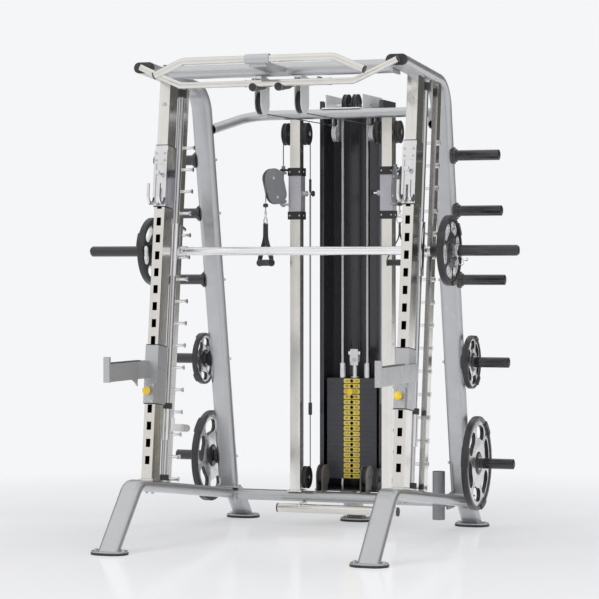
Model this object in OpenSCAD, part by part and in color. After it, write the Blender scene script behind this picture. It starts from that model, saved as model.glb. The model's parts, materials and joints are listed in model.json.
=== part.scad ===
// Half-rack smith machine with a twin-column cable station.
// X is to the user's right, Y to the back, Z up; the origin is on the floor, midway between the
// side frames. The press masts lean back, so their parts are drawn in a tilted mast frame whose
// z runs up the mast and whose y points to the rear, measured from the uprights' front face.

/* [Side frames] */
// Distance from the centre plane to each side frame
half_frame = 582.5; // [560:0.5:620]
// Width of the flat-oval frame tube, across the machine
tube_w = 96; // [80:1:110]
// Thickness of the flat-oval frame tube, in the plane of its bends
tube_t = 48; // [40:1:60]
// Wall of the frame tube
tube_wall = 3; // [2:0.5:5]
// Backward lean of the press masts
mast_lean = 7; // [5:0.5:9]

/* [Press masts] */
// Width of a front upright
upright_w = 50; // [44:1:60]
// Depth of a front upright
upright_d = 90; // [76:1:100]
// Spacing of the rack holes
hole_pitch = 76.2; // [76.2]
// Number of rack holes
hole_count = 18; // [10:1:18]
// Diameter of the press guide rods
rod_d = 30; // [25:1:32]
// Spacing of the lock pegs
peg_pitch = 101.6; // [101.6]
// Number of lock pegs on each side
peg_count = 16; // [12:1:16]

/* [Press bar] */
// Overall length of the press bar
bar_length = 2035; // [1900:5:2200]
// Diameter of the bar between the carriages
bar_d = 38; // [30:1:38]
// Diameter of the plate sleeves
sleeve_d = 48; // [46:1:50]
// Height of the bar above rack hole 0, along the mast
bar_height = 963.2; // [963.2]
// Diameter of the plates loaded on the bar
bar_plate_d = 310; // [250:10:320]

/* [Plate storage] */
// Diameter of the storage horns
horn_d = 48; // [46:1:50]
// Distance from the centre plane to a horn's tip
horn_reach = 840; // [780:5:900]
// Diameter of the plates on the lowest horns
large_plate_d = 436; // [400:2:450]
// Diameter of the plates on the second horns
small_plate_d = 246; // [200:2:260]

/* [Cable station] */
// Distance from the centre plane to a pulley column
column_x = 229; // [215:1:240]
// Outer size of a pulley column's square tube
column_w = 50; // [44:1:54]
// Spacing of the column holes
column_pitch = 101.6; // [101.6]
// Diameter of the large pulleys
pulley_d = 107; // [95:1:112]

/* [Weight stack] */
// Number of plates below the selected ones
stack_rest_count = 16; // [10:1:17]
// Number of selected plates
stack_lift_count = 3; // [1:1:5]
// Thickness of one stack plate
stack_plate_t = 25.4; // [20:0.1:26]
// Width of a stack plate
stack_plate_w = 250; // [220:5:260]

/* [Hidden] */
$fn = 48;
// Running clearance on a radius
run = 0.05;
// Sliding clearance around a rack upright or column
slide_gap = 1;
hex_fn = 6;
// How much wider a bend is drawn than its straight runs
oval_swell = 0.7;
round_swell = 0.12;
bend_lap = 1.5;
$swell = 0;

// Mast frame: rack hole 0 on the front face
mast_y = -413.8;
mast_z = 371.5;
rail_top_z = -90.3;
hole_w = 21;
hole_h = 37;
rod_y = 190;
bar_y = 236;
peg_y = 286;
post_w = 25;
post_d = 50;
post_x = half_frame + 25.5;
peg_d = 14;
peg_z0 = 28 - peg_pitch;
peg_tip_x = post_x - 56;
mast_top = 1760;
stop_z = 99.4;
stop_h = 140;

// Top rail: front end and slope
rail_front = [-436, 2104];
rail_drop = 4.28;
rail_corner = [207.7, 2055.8];
// Base rail corners, front foot first
base_path = [[-829, 0], [-566, 275], [655, 124.9], [769, 0]];
front_foot_y = -812;
rear_foot_y = 756;
centre_foot_y = 778;
foot_top = 16;
pad_t = 10;
foot_size = [160, 112];
// Rear upright: centre line through these two points
rear_foot = [580, 100];

// Cable station places
column_y = 555;
cross_y = 568;
cross_z = 133;
column_z0 = 157;
column_z1 = 1930;
pulley_side = 50;
cable_d = 5;
// Depth of a cable's centre below a wheel's rim
cable_inset = 3.5;
top_pulley_z = 1862;
base_pulley_z = 225;
swivel_x = column_x + pulley_side;
swivel_y = column_y - pulley_d / 2 + cable_inset;
head_pulley_r = 50;
trolley_z = 1577;
trolley_h = 246;
trolley_w = 62;
collar_h = 38;
head_z = 1611;
right_head_turn = 60;
left_head_turn = 45;
handle_twist = 86;
shroud_half = 160;
stack_y = 748;
stack_z0 = 211;
guide_x = 63.5;
lift_z0 = stack_z0 + stack_rest_count * stack_plate_t + 0.3;
lift_z1 = lift_z0 + stack_lift_count * stack_plate_t;
selector_z = lift_z1 - stack_plate_t / 2 - stack_plate_t * (stack_lift_count - 1);
overhead_y = stack_y - pulley_d / 2 + cable_inset;
overhead_z = 2003;
lat_x = 93;
lat_y = -270;
lat_z = 1949;
low_x = 110;
low_y = 590;
low_z = 232;

axle_d = 12;
wheel_w = 22;
overhead_x = 24;
bracket_half = 95;
bracket_z = 1976;
rear_lat_y = 735;
rear_lat_z = 1872;
guide_d = 20;
stem_d = 26;
selector_d = 10;
head_drop_z = 1532;

silver = [0.72, 0.73, 0.75];
nickel = [0.80, 0.78, 0.72];
chrome = [0.90, 0.90, 0.92];
black = [0.08, 0.08, 0.09];
iron = [0.12, 0.12, 0.13];
charcoal = [0.20, 0.20, 0.22];
grey = [0.50, 0.51, 0.53];
pale = [0.86, 0.87, 0.88];
yellow = [0.95, 0.80, 0.15];

// ---------- shared shapes ----------

module both() {
    children();
    mirror([1, 0, 0]) children();
}

module left() {
    mirror([1, 0, 0]) children();
}

// Places mast-frame shapes in the machine
module mast() {
    translate([0, mast_y, mast_z]) rotate([-mast_lean, 0, 0]) children();
}

// Turns a shape drawn in XY into the YZ plane, with its z across the machine
module yz() {
    rotate([90, 0, 90]) children();
}

// Turns a shape drawn in XY into the XZ plane
module xz() {
    rotate([90, 0, 0]) children();
}

// A cylinder along X, centred on the origin
module x_cyl(d, h) {
    rotate([0, 90, 0]) cylinder(d = d, h = h, center = true);
}

// A cylinder along X from x0 to x1
module x_rod(d, x0, x1) {
    translate([x0, 0, 0]) rotate([0, 90, 0]) cylinder(d = d, h = x1 - x0);
}

// A cylinder along Y, centred on the origin
module y_cyl(d, h) {
    rotate([90, 0, 0]) cylinder(d = d, h = h, center = true);
}

module stadium(w, t) {
    square([t, w - t], center = true);
    for (s = [-1, 1]) translate([0, s * (w - t) / 2]) circle(d = t);
}

module oval_tube(w = tube_w, t = tube_t, wall = tube_wall) {
    difference() {
        stadium(w, t);
        stadium(w - 2 * wall, t - 2 * wall);
    }
}

// The frame tube, bent along a path
module bent_oval(path, r) {
    difference() {
        bent(path, r, oval_swell) stadium(tube_w + $swell, tube_t + $swell);
        bent(path, r, oval_swell)
            stadium(tube_w - 2 * tube_wall + $swell, tube_t - 2 * tube_wall + $swell);
    }
}

// A round tube, bent along a path
module bent_round(path, r, d, wall) {
    difference() {
        bent(path, r, round_swell) circle(d = d + $swell);
        bent(path, r, round_swell) circle(d = d - 2 * wall + $swell);
    }
}

module rect_tube(w, d, wall) {
    difference() {
        square([w, d], center = true);
        square([w - 2 * wall, d - 2 * wall], center = true);
    }
}

function heading(a, b) = atan2(b[1] - a[1], b[0] - a[0]);
function wrap(d) = d > 180 ? d - 360 : d < -180 ? d + 360 : d;
function turn(p, i) = wrap(heading(p[i], p[i + 1]) - heading(p[i - 1], p[i]));
function trim(p, i, r) = i == 0 || i == len(p) - 1 ? 0 : r * tan(abs(turn(p, i)) / 2);

// Sweeps a profile along a path of straight runs with bends of radius r. The bends are drawn
// larger by swell, and the straight runs end inside them.
module bent(path, r, swell) {
    last = len(path) - 1;
    for (i = [0:last - 1]) {
        ang = heading(path[i], path[i + 1]);
        from = trim(path, i, r) - (i == 0 ? 0 : bend_lap);
        to = trim(path, i + 1, r) - (i + 1 == last ? 0 : bend_lap);
        $swell = 0;
        translate([path[i][0] + from * cos(ang), path[i][1] + from * sin(ang), 0])
            rotate([0, 0, ang]) rotate([90, 0, 90])
            linear_extrude(norm(path[i + 1] - path[i]) - from - to) children();
    }
    if (last > 1) for (i = [1:last - 1]) {
        ang = heading(path[i - 1], path[i]);
        swing = turn(path, i);
        s = sign(swing);
        back = trim(path, i, r);
        $swell = swell;
        translate([path[i][0] - back * cos(ang) - s * r * sin(ang),
                   path[i][1] - back * sin(ang) + s * r * cos(ang), 0])
            rotate([0, 0, s > 0 ? ang - 90 : ang + 90 - abs(swing)])
            rotate_extrude(angle = abs(swing)) translate([r, 0]) children();
    }
}

// A round rod between two points
module rod(a, b, d) {
    v = b - a;
    translate(a) rotate([0, acos(v[2] / norm(v)), atan2(v[1], v[0])])
        cylinder(d = d, h = norm(v));
}

// A flat plate with round ends, in XY; its sides are a little narrower than its ends
module slot_plate(a, b, w, t) {
    side = w - 1;
    linear_extrude(t) {
        translate(a) circle(d = w);
        translate(b) circle(d = w);
        translate(a) rotate([0, 0, heading(a, b)])
            translate([0, -side / 2]) square([norm(b - a), side]);
    }
}

module above_top_rail() {
    translate([-900, rail_front[0], rail_front[1]]) rotate([-rail_drop, 0, 0])
        translate([0, -300, -tube_t / 2 - 0.1]) cube([1800, 1300, 300]);
}

module below_floor_plate() {
    translate([-900, -1200, -200]) cube([1800, 2400, 200 + foot_top]);
}

module stadium_plate(size) {
    square([size[0] - size[1], size[1]], center = true);
    for (s = [-1, 1]) translate([s * (size[0] - size[1]) / 2, 0]) circle(d = size[1]);
}

module foot_plate(y) {
    translate([0, y, pad_t]) linear_extrude(foot_top - pad_t) stadium_plate(foot_size);
}

// A grooved cable wheel on the X axis
module wheel(d, w, bore_d) {
    rotate([0, 90, 0]) difference() {
        cylinder(d = d, h = w, center = true);
        cylinder(d = bore_d, h = w + 2, center = true);
        rotate_extrude() translate([d / 2, 0]) circle(d = w * 0.55);
        for (s = [-1, 1]) translate([0, 0, s * w / 2]) difference() {
            cylinder(d = d - 26, h = 5, center = true);
            cylinder(d = bore_d + 18, h = 6, center = true);
        }
    }
}

// A hexagonal bolt head with a washer, standing along +Z on a surface
module bolt_head(d) {
    cylinder(d = d * 1.45, h = 2);
    translate([0, 0, 2]) cylinder(d = d, h = 7, $fn = hex_fn);
}

// ---------- side frames ----------

module base_rail() {
    difference() {
        translate([half_frame, 0, 0]) yz() bent_oval(base_path, 90);
        below_floor_plate();
    }
    translate([half_frame, 0, 0]) foot_plate(front_foot_y);
    translate([half_frame, 0, 0]) foot_plate(rear_foot_y);
}

module base_rails() {
    color(silver) both() base_rail();
}

module foot_pads() {
    pad_size = [foot_size[0] + 6, foot_size[1] + 6];
    color(black) {
        both() for (y = [front_foot_y, rear_foot_y]) translate([half_frame, y, 0])
            linear_extrude(pad_t) stadium_plate(pad_size);
        translate([0, centre_foot_y, 0]) linear_extrude(pad_t) stadium_plate(pad_size);
    }
}

module rear_upright() {
    flange = [110, 84, 8];
    difference() {
        translate([half_frame, 0, 0]) yz()
            bent_oval([rear_foot, rail_corner, rail_front], 150);
        mast() translate([0, 700, -700]) cube([1800, 700, 700 + rail_top_z + flange[2]]);
    }
    mast() translate([half_frame - flange[0] / 2, 957, rail_top_z]) cube(flange);
}

module rear_uprights() {
    color(silver) both() rear_upright();
}

module front_upright() {
    wall = 3;
    difference() {
        mast() translate([half_frame, upright_d / 2, rail_top_z])
            linear_extrude(mast_top - rail_top_z) rect_tube(upright_w, upright_d, wall);
        mast() for (k = [0:hole_count - 1])
            translate([half_frame - hole_w / 2, -1, k * hole_pitch - hole_h / 2])
                cube([hole_w, wall + 2, hole_h]);
        above_top_rail();
    }
    mast() translate([half_frame - 36, -9, rail_top_z]) difference() {
        cube([72, upright_d + 18, 6]);
        translate([11, 9, -1]) cube([upright_w, upright_d, 8]);
    }
}

module front_uprights() {
    color(nickel) both() front_upright();
}

module peg_posts() {
    color(nickel) both() difference() {
        mast() translate([post_x, peg_y, rail_top_z])
            linear_extrude(mast_top - rail_top_z) rect_tube(post_w, post_d, 2.5);
        mast() for (k = [0:peg_count - 1]) translate([post_x, peg_y, peg_z0 + k * peg_pitch])
            x_cyl(peg_d + 2 * run, post_w + 4);
        above_top_rail();
    }
}

module lock_pegs() {
    nut = 10;
    color(chrome) both() mast()
        for (k = [0:peg_count - 1]) translate([0, peg_y, peg_z0 + k * peg_pitch]) {
            x_rod(peg_d, peg_tip_x, post_x + post_w / 2 + nut);
            x_rod(peg_d + 7, peg_tip_x - 5, peg_tip_x);
            translate([post_x + post_w / 2, 0, 0]) rotate([0, 90, 0])
                cylinder(d = 23, h = nut - 1, $fn = hex_fn);
        }
}

module guide_rods() {
    color(chrome) both() difference() {
        mast() translate([half_frame, rod_y, rail_top_z]) {
            cylinder(d = rod_d, h = mast_top - rail_top_z);
            cylinder(d = rod_d + 26, h = 7);
            translate([0, 0, 1792]) cylinder(d = rod_d + 26, h = 30);
        }
        above_top_rail();
    }
}

module bumper_ring(d, z0, h) {
    translate([half_frame, rod_y, z0]) difference() {
        cylinder(d = d, h = h);
        translate([0, 0, -1]) cylinder(d = rod_d + 2 * run, h = h + 2);
    }
}

module rubber_bumpers() {
    color(black) both() mast() {
        bumper_ring(50, rail_top_z + 7, 26);
        bumper_ring(50, rail_top_z + 1792 - 34, 34);
    }
}

// ---------- cross members and bars ----------

module flange_pair(x, y, z, size) {
    both() translate([x, y - size[1] / 2, z - size[2] / 2]) cube(size);
}

module base_crossmember() {
    reach = half_frame - tube_w / 2;
    color(silver) {
        translate([-reach + 8, cross_y, cross_z]) rotate([90, 0, 90])
            linear_extrude(2 * (reach - 8)) rotate([0, 0, 90]) oval_tube();
        flange_pair(reach - 8, cross_y, cross_z - 7, [8, 116, 52]);
        difference() {
            yz() bent_oval([[cross_y + tube_w / 2, cross_z], [684, cross_z], [790, 0]], 90);
            below_floor_plate();
        }
        foot_plate(centre_foot_y);
    }
}

module top_crossmember() {
    reach = half_frame - tube_w / 2;
    color(silver) {
        translate([-reach + 8, -290, 2092]) rotate([90, 0, 90])
            linear_extrude(2 * (reach - 8)) rotate([0, 0, 90]) oval_tube(92, 58, 3);
        flange_pair(reach - 8, -290, 2092, [8, 110, 66]);
        pull_up_bar_arm();
    }
}

// Clamp sleeve and flat arm that carry the wide pull-up bar
module pull_up_bar_arm() {
    translate(wide_bar) difference() {
        x_cyl(43, 110);
        x_cyl(wide_bar_d + 2 * run, 112);
    }
    difference() {
        translate(wide_bar + [-40, 0, -34]) rotate([-1, 0, 0]) cube([80, 240, 22]);
        translate(wide_bar) x_cyl(40, 112);
    }
}

module rear_arch_tube() {
    color(silver) translate([0, 545, 1953]) rotate([194.9, 0, 0])
        bent_round([[-538, 310], [-455, 0], [455, 0], [538, 310]], 130, 46, 3);
}

// Middle of the wide pull-up bar, its tube, and the end of its right arm
wide_bar = [0, -568, 2114];
wide_bar_d = 32;
wide_bar_end = [477, 2057];

module wide_pull_up_bar() {
    color(chrome) translate([0, wide_bar[1], 0]) xz()
        bent_round([[-wide_bar_end[0], wide_bar_end[1]], [-345, wide_bar[2]], [345, wide_bar[2]],
                    wide_bar_end], 90, wide_bar_d, 3);
}

// Middle of the front pull-up bar, its tube and its half width
front_bar = [0, -462, 2019];
front_bar_d = 28;
front_bar_half = 592;

module front_pull_up_bar() {
    end = [front_bar_half, 2105];
    color(chrome) translate([0, front_bar[1], 0]) xz()
        bent_round([[-end[0], end[1]], [-400, front_bar[2]], [400, front_bar[2]], end], 70, front_bar_d, 3);
}

module close_grip_handles() {
    grip_x = 59;
    back = [grip_x, -190, 2043];
    front = [grip_x, -470, 2003];
    grip_start = [grip_x, -346, 2020.7];
    color(chrome) {
        difference() {
            union() {
                translate([0, back[1], back[2]]) x_cyl(32, 394);
                both() rod(back, front, 28);
            }
            translate([0, back[1], back[2]]) x_cyl(26, 400);
            translate(front_bar) x_cyl(front_bar_d + 2 * run, 300);
        }
        both() translate([150, -232, 2043]) cube([8, 50, 20]);
    }
    // the grips are notched over the front pull-up bar
    color(black) difference() {
        both() rod(grip_start, front + [0, -4, -0.6], 37);
        translate(front_bar) x_cyl(front_bar_d + 2 * run, 300);
    }
}

module tube_end_caps() {
    color(black) {
        // front ends of the top rails
        both() translate([half_frame, rail_front[0], rail_front[1]]) rotate([90 - rail_drop, 0, 0])
            linear_extrude(11) rotate([0, 0, 90]) stadium(tube_w, tube_t);
        // open ends of the pull-up bars
        both() translate([wide_bar_end[0], wide_bar[1], wide_bar_end[1]]) rotate([0, 113.4, 0])
            cylinder(d = wide_bar_d + 1, h = 6);
        both() translate([front_bar_half, front_bar[1], 2105]) rotate([0, 65.9, 0])
            cylinder(d = front_bar_d + 1, h = 6);
        // ends of the foot bar and of the handle tube
        both() translate([296, 485, 83]) x_rod(43, 0, 6);
        both() translate([197, -190, 2043]) x_rod(33, 0, 6);
    }
}

// ---------- plate storage ----------

// Horn centres on the rear uprights, top first
horn_z = [1731, 1482, 1168.7, 789.7, 317.4];
rear_slope = (rear_foot[0] - rail_corner[0]) / (rail_corner[1] - rear_foot[1]);
function rear_y(z) = rail_corner[0] + (rail_corner[1] - z) * rear_slope;

module storage_horns() {
    root_x = half_frame + tube_w / 2 - 8;
    flange_t = 22;
    color(black) both() for (z = horn_z) translate([0, rear_y(z), z]) difference() {
        union() {
            x_rod(horn_d, root_x, horn_reach);
            x_rod(76, root_x, root_x + 12);
            translate([root_x + 12, 0, 0]) rotate([0, 90, 0])
                cylinder(d1 = 66, d2 = 58, h = flange_t - 12);
        }
        // coped to the upright's round side
        translate([half_frame, 0, 0]) rotate([atan(rear_slope), 0, 0])
            linear_extrude(200, center = true) rotate([0, 0, 90]) stadium(tube_w + 0.04, tube_t + 0.04);
    }
}

// A grip plate with six kidney openings around its hub
module grip_plate(d, t, bore_d) {
    slot_r = d * 0.335;
    slot_w = d * 0.14;
    rotate([0, 90, 0]) difference() {
        union() {
            cylinder(d = d, h = t * 0.6, center = true);
            difference() {
                cylinder(d = d, h = t, center = true);
                cylinder(d = d * 0.90, h = t + 2, center = true);
            }
            cylinder(d = bore_d + 34, h = t, center = true);
        }
        cylinder(d = bore_d, h = t + 2, center = true);
        for (a = [0:60:300]) rotate([0, 0, a]) {
            for (b = [-11, 11]) rotate([0, 0, b]) translate([slot_r, 0, 0])
                cylinder(d = slot_w, h = t + 2, center = true);
            rotate([0, 0, -11]) rotate_extrude(angle = 22) translate([slot_r - slot_w / 2, -t / 2 - 1])
                square([slot_w, t + 2]);
        }
    }
}

module storage_plates() {
    store_x = half_frame + tube_w / 2 + 34;
    fit = horn_d + 0.6;
    color(iron) both() {
        translate([store_x, rear_y(horn_z[3]), horn_z[3]]) grip_plate(small_plate_d, 26, fit);
        translate([store_x, rear_y(horn_z[4]), horn_z[4]]) grip_plate(large_plate_d, 30, fit);
    }
}

// ---------- press ----------

module bar_carriages() {
    sleeve_h = 238;
    ear_r = 27;
    color(chrome) both() mast() difference() {
        union() {
            translate([half_frame, rod_y, bar_height - sleeve_h / 2])
                cylinder(d = rod_d + 14, h = sleeve_h);
            translate([half_frame - 6.5, rod_y + 10, bar_height - ear_r])
                cube([16, bar_y - rod_y - 10, 2 * ear_r]);
            translate([half_frame + 1.5, bar_y, bar_height]) x_cyl(2 * ear_r, 16);
        }
        translate([half_frame, rod_y, bar_height - sleeve_h / 2 - 1])
            cylinder(d = rod_d + 2 * run, h = sleeve_h + 2);
        translate([half_frame, bar_y, bar_height]) x_cyl(bar_d + 2 * run, 60);
    }
}

module smith_bar() {
    inner_end = half_frame + 42;
    color(chrome) mast() translate([0, bar_y, bar_height]) x_cyl(bar_d, 2 * inner_end);
}

// Collar end, and centre of the loaded plate, on the press bar
collar_x = half_frame + 106;
plate_x = collar_x + 17;
// How much thicker the sleeve is where a loaded plate sits
plate_seat = 0.6;

module bar_sleeves() {
    inner_end = half_frame + 42;
    color(black) both() mast() translate([0, bar_y, bar_height]) {
        x_rod(sleeve_d, inner_end, bar_length / 2 - 8);
        x_rod(sleeve_d + plate_seat, inner_end, plate_x + 17);
        x_rod(sleeve_d + 10, inner_end, collar_x);
        translate([bar_length / 2 - 8, 0, 0]) rotate([0, 90, 0])
            cylinder(d1 = sleeve_d, d2 = sleeve_d - 12, h = 8);
    }
}

module bar_hooks() {
    seat_r = 95;
    finger_in = seat_r + peg_d / 2 + 0.6;
    finger_t = 13;
    hook_t = 10;
    hook_x = half_frame - 19.5;
    reach_deg = 20;
    color(chrome) both() mast() translate([hook_x, bar_y, bar_height]) {
        difference() {
            union() {
                x_rod(46, -hook_t - 14, hook_t);
                // shank up the front of the peg, then a finger that curves over it
                translate([0, -22, 0]) cube([hook_t, 14, finger_in + 9]);
                rotate([90, 0, 90]) rotate([0, 0, 90 - reach_deg])
                    rotate_extrude(angle = reach_deg + 9) translate([finger_in, 0.5])
                    square([finger_t, hook_t - 1]);
            }
            x_cyl(bar_d + 0.02, 80);
        }
    }
}

module bar_plates() {
    color(iron) both() mast() translate([plate_x, bar_y, bar_height])
        grip_plate(bar_plate_d, 30, sleeve_d + plate_seat + 0.2);
}

// Stop for one side, drawn with its arm turned inward off the pegs
module safety_stop() {
    arm_reach = peg_y - rod_y + 8;
    // the arm swings in over the peg's rim
    arm_z = peg_z0 + 2 * peg_pitch + peg_d / 2 + 4.2;
    color(chrome) mast() translate([half_frame, rod_y, 0]) difference() {
        union() {
            translate([0, 0, stop_z]) cylinder(d = rod_d + 14, h = stop_h);
            rotate([0, 0, 40]) {
                translate([-5, 12, arm_z]) cube([10, arm_reach - 12, 34]);
                translate([-5, arm_reach, arm_z + 17]) rotate([0, 90, 0])
                    cylinder(d = 34, h = 10);
                translate([-5, 12, arm_z]) cube([10, 30, 60]);
            }
        }
        translate([0, 0, stop_z - 1]) cylinder(d = rod_d + 2 * run, h = stop_h + 2);
    }
}

module safety_stop_left() {
    left() safety_stop();
}

module safety_stop_right() {
    safety_stop();
}

// Rubber cushion that rides on top of a stop
module stop_cushion() {
    color(black) mast() bumper_ring(rod_d + 20, stop_z + stop_h + 0.1, 26);
}

module stop_cushion_left() {
    left() stop_cushion();
}

module stop_cushion_right() {
    stop_cushion();
}

// ---------- rack attachments ----------

// A sleeve around a front upright, in the mast frame, from z0 up
module rack_sleeve(z0, h, wall) {
    w = upright_w + 2 * slide_gap;
    d = upright_d + 2 * slide_gap;
    translate([half_frame, upright_d / 2, z0]) linear_extrude(h) difference() {
        square([w + 2 * wall, d + 2 * wall], center = true);
        square([w, d], center = true);
    }
}

arm_hole = 4;
hook_hole = 16;
pin_bore = 14;

module spotter_arm() {
    sleeve_z0 = arm_hole * hole_pitch - 52;
    beam_x = half_frame + 27.5;
    beam_w = 28;
    beam_h = 78;
    beam_end = -770;
    beam_z = 733;
    sleeve_back = -340;
    difference() {
        union() {
            mast() rack_sleeve(sleeve_z0, 258, 5);
            translate([beam_x - beam_w / 2, beam_end, beam_z])
                cube([beam_w, sleeve_back - beam_end + 75, beam_h]);
            translate([beam_x - beam_w / 2, beam_end - 14, beam_z - 2]) cube([beam_w, 14, beam_h + 32]);
            mast() translate([half_frame - 24, -22, sleeve_z0]) cube([48, 16, 88]);
        }
        mast() translate([half_frame, upright_d / 2, 0]) linear_extrude(900)
            square([upright_w + 2 * slide_gap, upright_d + 2 * slide_gap], center = true);
        mast() translate([half_frame, -10, arm_hole * hole_pitch]) y_cyl(pin_bore + 2 * run, 40);
    }
}

module spotter_arm_left() {
    color(silver) left() spotter_arm();
}

module spotter_arm_right() {
    color(silver) spotter_arm();
}

module rack_hook() {
    sleeve_z0 = hook_hole * hole_pitch - 82;
    sleeve_h = 274;
    saddle_r = 30;
    saddle_z = sleeve_z0 + 40;
    color(chrome) difference() {
        union() {
            mast() rack_sleeve(sleeve_z0, sleeve_h, 4);
            mast() for (s = [-1, 1]) translate([half_frame + s * 26 - 5, 0, 0]) {
                // J plate: a half ring below, a raised tip in front
                translate([0, -saddle_r - 8, saddle_z]) rotate([90, 0, 90]) {
                    rotate([0, 0, 180]) rotate_extrude(angle = 180)
                        translate([saddle_r - 1, 0]) square([11, 10]);
                    translate([-saddle_r - 10, 0, 0]) cube([11, 52, 10]);
                }
                translate([0, -12, saddle_z]) cube([10, 10, 190]);
            }
            mast() translate([half_frame - 31, -12, saddle_z + 150]) cube([62, 10, 62]);
        }
        mast() translate([half_frame, upright_d / 2, 0]) linear_extrude(1700)
            square([upright_w + 2 * slide_gap, upright_d + 2 * slide_gap], center = true);
    }
}

module rack_hook_left() {
    left() rack_hook();
}

module rack_hook_right() {
    rack_hook();
}

// Spring pin of a spotter arm, drawn back out of the rack hole
module arm_pin() {
    mast() translate([half_frame, 0, arm_hole * hole_pitch]) {
        color(chrome) translate([0, -25, 0]) y_cyl(pin_bore, 46);
        color(yellow) {
            translate([0, -50, 0]) y_cyl(36, 14);
            translate([0, -60, 0]) y_cyl(28, 8);
        }
    }
}

module arm_pin_left() {
    left() arm_pin();
}

module arm_pin_right() {
    arm_pin();
}

// ---------- cable station ----------

module pulley_columns() {
    wall = 3;
    first = trolley_z - 12 * column_pitch;
    color(nickel) both() difference() {
        translate([column_x, column_y, column_z0]) {
            linear_extrude(column_z1 - column_z0) rect_tube(column_w, column_w, wall);
            translate([-36, -36, 0]) cube([72, 72, 7]);
        }
        for (k = [0:14]) translate([column_x, column_y, first + k * column_pitch])
            x_cyl(11, column_w + 4);
        for (z = [top_pulley_z, base_pulley_z]) translate([column_x, column_y, z])
            x_cyl(axle_d + 2 * run, column_w + 4);
    }
}

module pulley_axles() {
    color(chrome) {
        both() translate([column_x, column_y, top_pulley_z]) {
            x_cyl(axle_d, 2 * pulley_side + 36);
            for (s = [-1, 1]) translate([s * (pulley_side + 16.5), 0, 0]) x_cyl(24, 3);
            for (s = [-1, 1]) translate([s * 32, 0, 0]) x_cyl(20, 13.8);
        }
        both() translate([column_x, column_y, base_pulley_z]) {
            x_rod(axle_d, -pulley_side - 18, 34);
            translate([-pulley_side - 16.5, 0, 0]) x_cyl(24, 3);
            translate([-32, 0, 0]) x_cyl(20, 13.8);
            translate([27, 0, 0]) x_cyl(22, 4);
        }
        translate([0, overhead_y, overhead_z]) x_cyl(axle_d, 2 * bracket_half);
    }
}

module column_top_pulleys() {
    color(black) both() for (s = [-1, 1])
        translate([column_x + s * pulley_side, column_y, top_pulley_z])
            wheel(pulley_d, wheel_w, axle_d + 2 * run);
}

module column_base_pulleys() {
    color(black) both() translate([column_x - pulley_side, column_y, base_pulley_z])
        wheel(pulley_d, wheel_w, axle_d + 2 * run);
}

module overhead_pulleys() {
    color(black) both() translate([overhead_x, overhead_y, overhead_z])
        wheel(pulley_d, wheel_w, axle_d + 2 * run);
}

module lat_pulleys() {
    color(black) both() translate([lat_x, lat_y, lat_z])
        wheel(pulley_d - 9, wheel_w, axle_d + 2 * run);
}

module low_pulleys() {
    color(black) both() translate([low_x, low_y, low_z])
        wheel(pulley_d - 9, wheel_w, axle_d + 2 * run);
}

// Side cover of a pulley in the YZ plane: round about the axle, with straight sides that run
// up or down by reach, and stop at back behind the axle
module pulley_cover(x, reach, back) {
    d = pulley_d + 1;
    front = d / 2 - 1;
    translate([x - 1.5, 0, 0]) yz() linear_extrude(3) {
        circle(d = d);
        translate([-front, min(0, reach)]) square([front + back, abs(reach)]);
    }
}

module pulley_housings() {
    gap = wheel_w / 2 + 3.5;
    across = 2 * gap + 3;
    low_reach = column_z0 - low_z;
    both() {
        // lat pulleys hang from the top crossmember
        color(pale) translate([lat_x, lat_y, lat_z]) {
            for (s = [-1, 1]) pulley_cover(s * gap, 110, pulley_d / 2 - 1);
            translate([-across / 2, -50, 104]) cube([across, 76, 10]);
            x_cyl(axle_d, across + 5);
        }
        // low pulleys stand on the base crossmember
        color(grey) translate([low_x, low_y, low_z]) {
            for (s = [-1, 1]) pulley_cover(s * gap, low_reach, 26);
            translate([-across / 2, -50, low_reach]) cube([across, 74, 6]);
            x_cyl(axle_d, across + 5);
        }
    }
}

module stack_shroud() {
    front = 690;
    back = 890;
    sheet = 3;
    top = 2026;
    bottom = column_z0 + 8;
    color(charcoal) {
        difference() {
            translate([-shroud_half, front, bottom]) cube([2 * shroud_half, back - front, top - bottom]);
            translate([-shroud_half + sheet, front - 1, bottom - 1])
                cube([2 * shroud_half - 2 * sheet, back - front - sheet + 1, top - bottom + 2]);
        }
        for (s = [-1, 1]) translate([s * (shroud_half - 10) - 10, front, bottom])
            cube([20, sheet, top - bottom]);
        difference() {
            translate([-shroud_half, 620, column_z0]) cube([2 * shroud_half, back - 620, 8]);
            for (s = [-1, 1]) translate([s * guide_x, stack_y, column_z0 - 1])
                cylinder(d = guide_d + 2 * run, h = 10);
        }
    }
}

module stack_guide_rods() {
    color(chrome) for (s = [-1, 1]) translate([s * guide_x, stack_y, column_z0])
        cylinder(d = guide_d, h = bracket_z - column_z0);
}

// One weight plate with guide holes, a centre hole for the stem and a selector hole
module weight_plate(z, stem_hole) {
    difference() {
        translate([-stack_plate_w / 2, stack_y - 51, z + 0.2])
            cube([stack_plate_w, 102, stack_plate_t - 0.4]);
        for (s = [-1, 1]) translate([s * guide_x, stack_y, z]) cylinder(d = guide_d + 3, h = stack_plate_t);
        translate([0, stack_y, z]) cylinder(d = stem_hole, h = stack_plate_t);
        translate([0, stack_y - 52, z + stack_plate_t / 2]) rotate([-90, 0, 0])
            cylinder(d = selector_d + 2, h = 80);
    }
}

module stack_plates() {
    color(charcoal) for (i = [0:stack_rest_count - 1])
        weight_plate(stack_z0 + i * stack_plate_t, stem_d + 4);
}

module lifted_plates() {
    color(charcoal) for (i = [0:stack_lift_count - 1])
        weight_plate(lift_z0 + i * stack_plate_t, stem_d + 2 * run);
}

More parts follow.
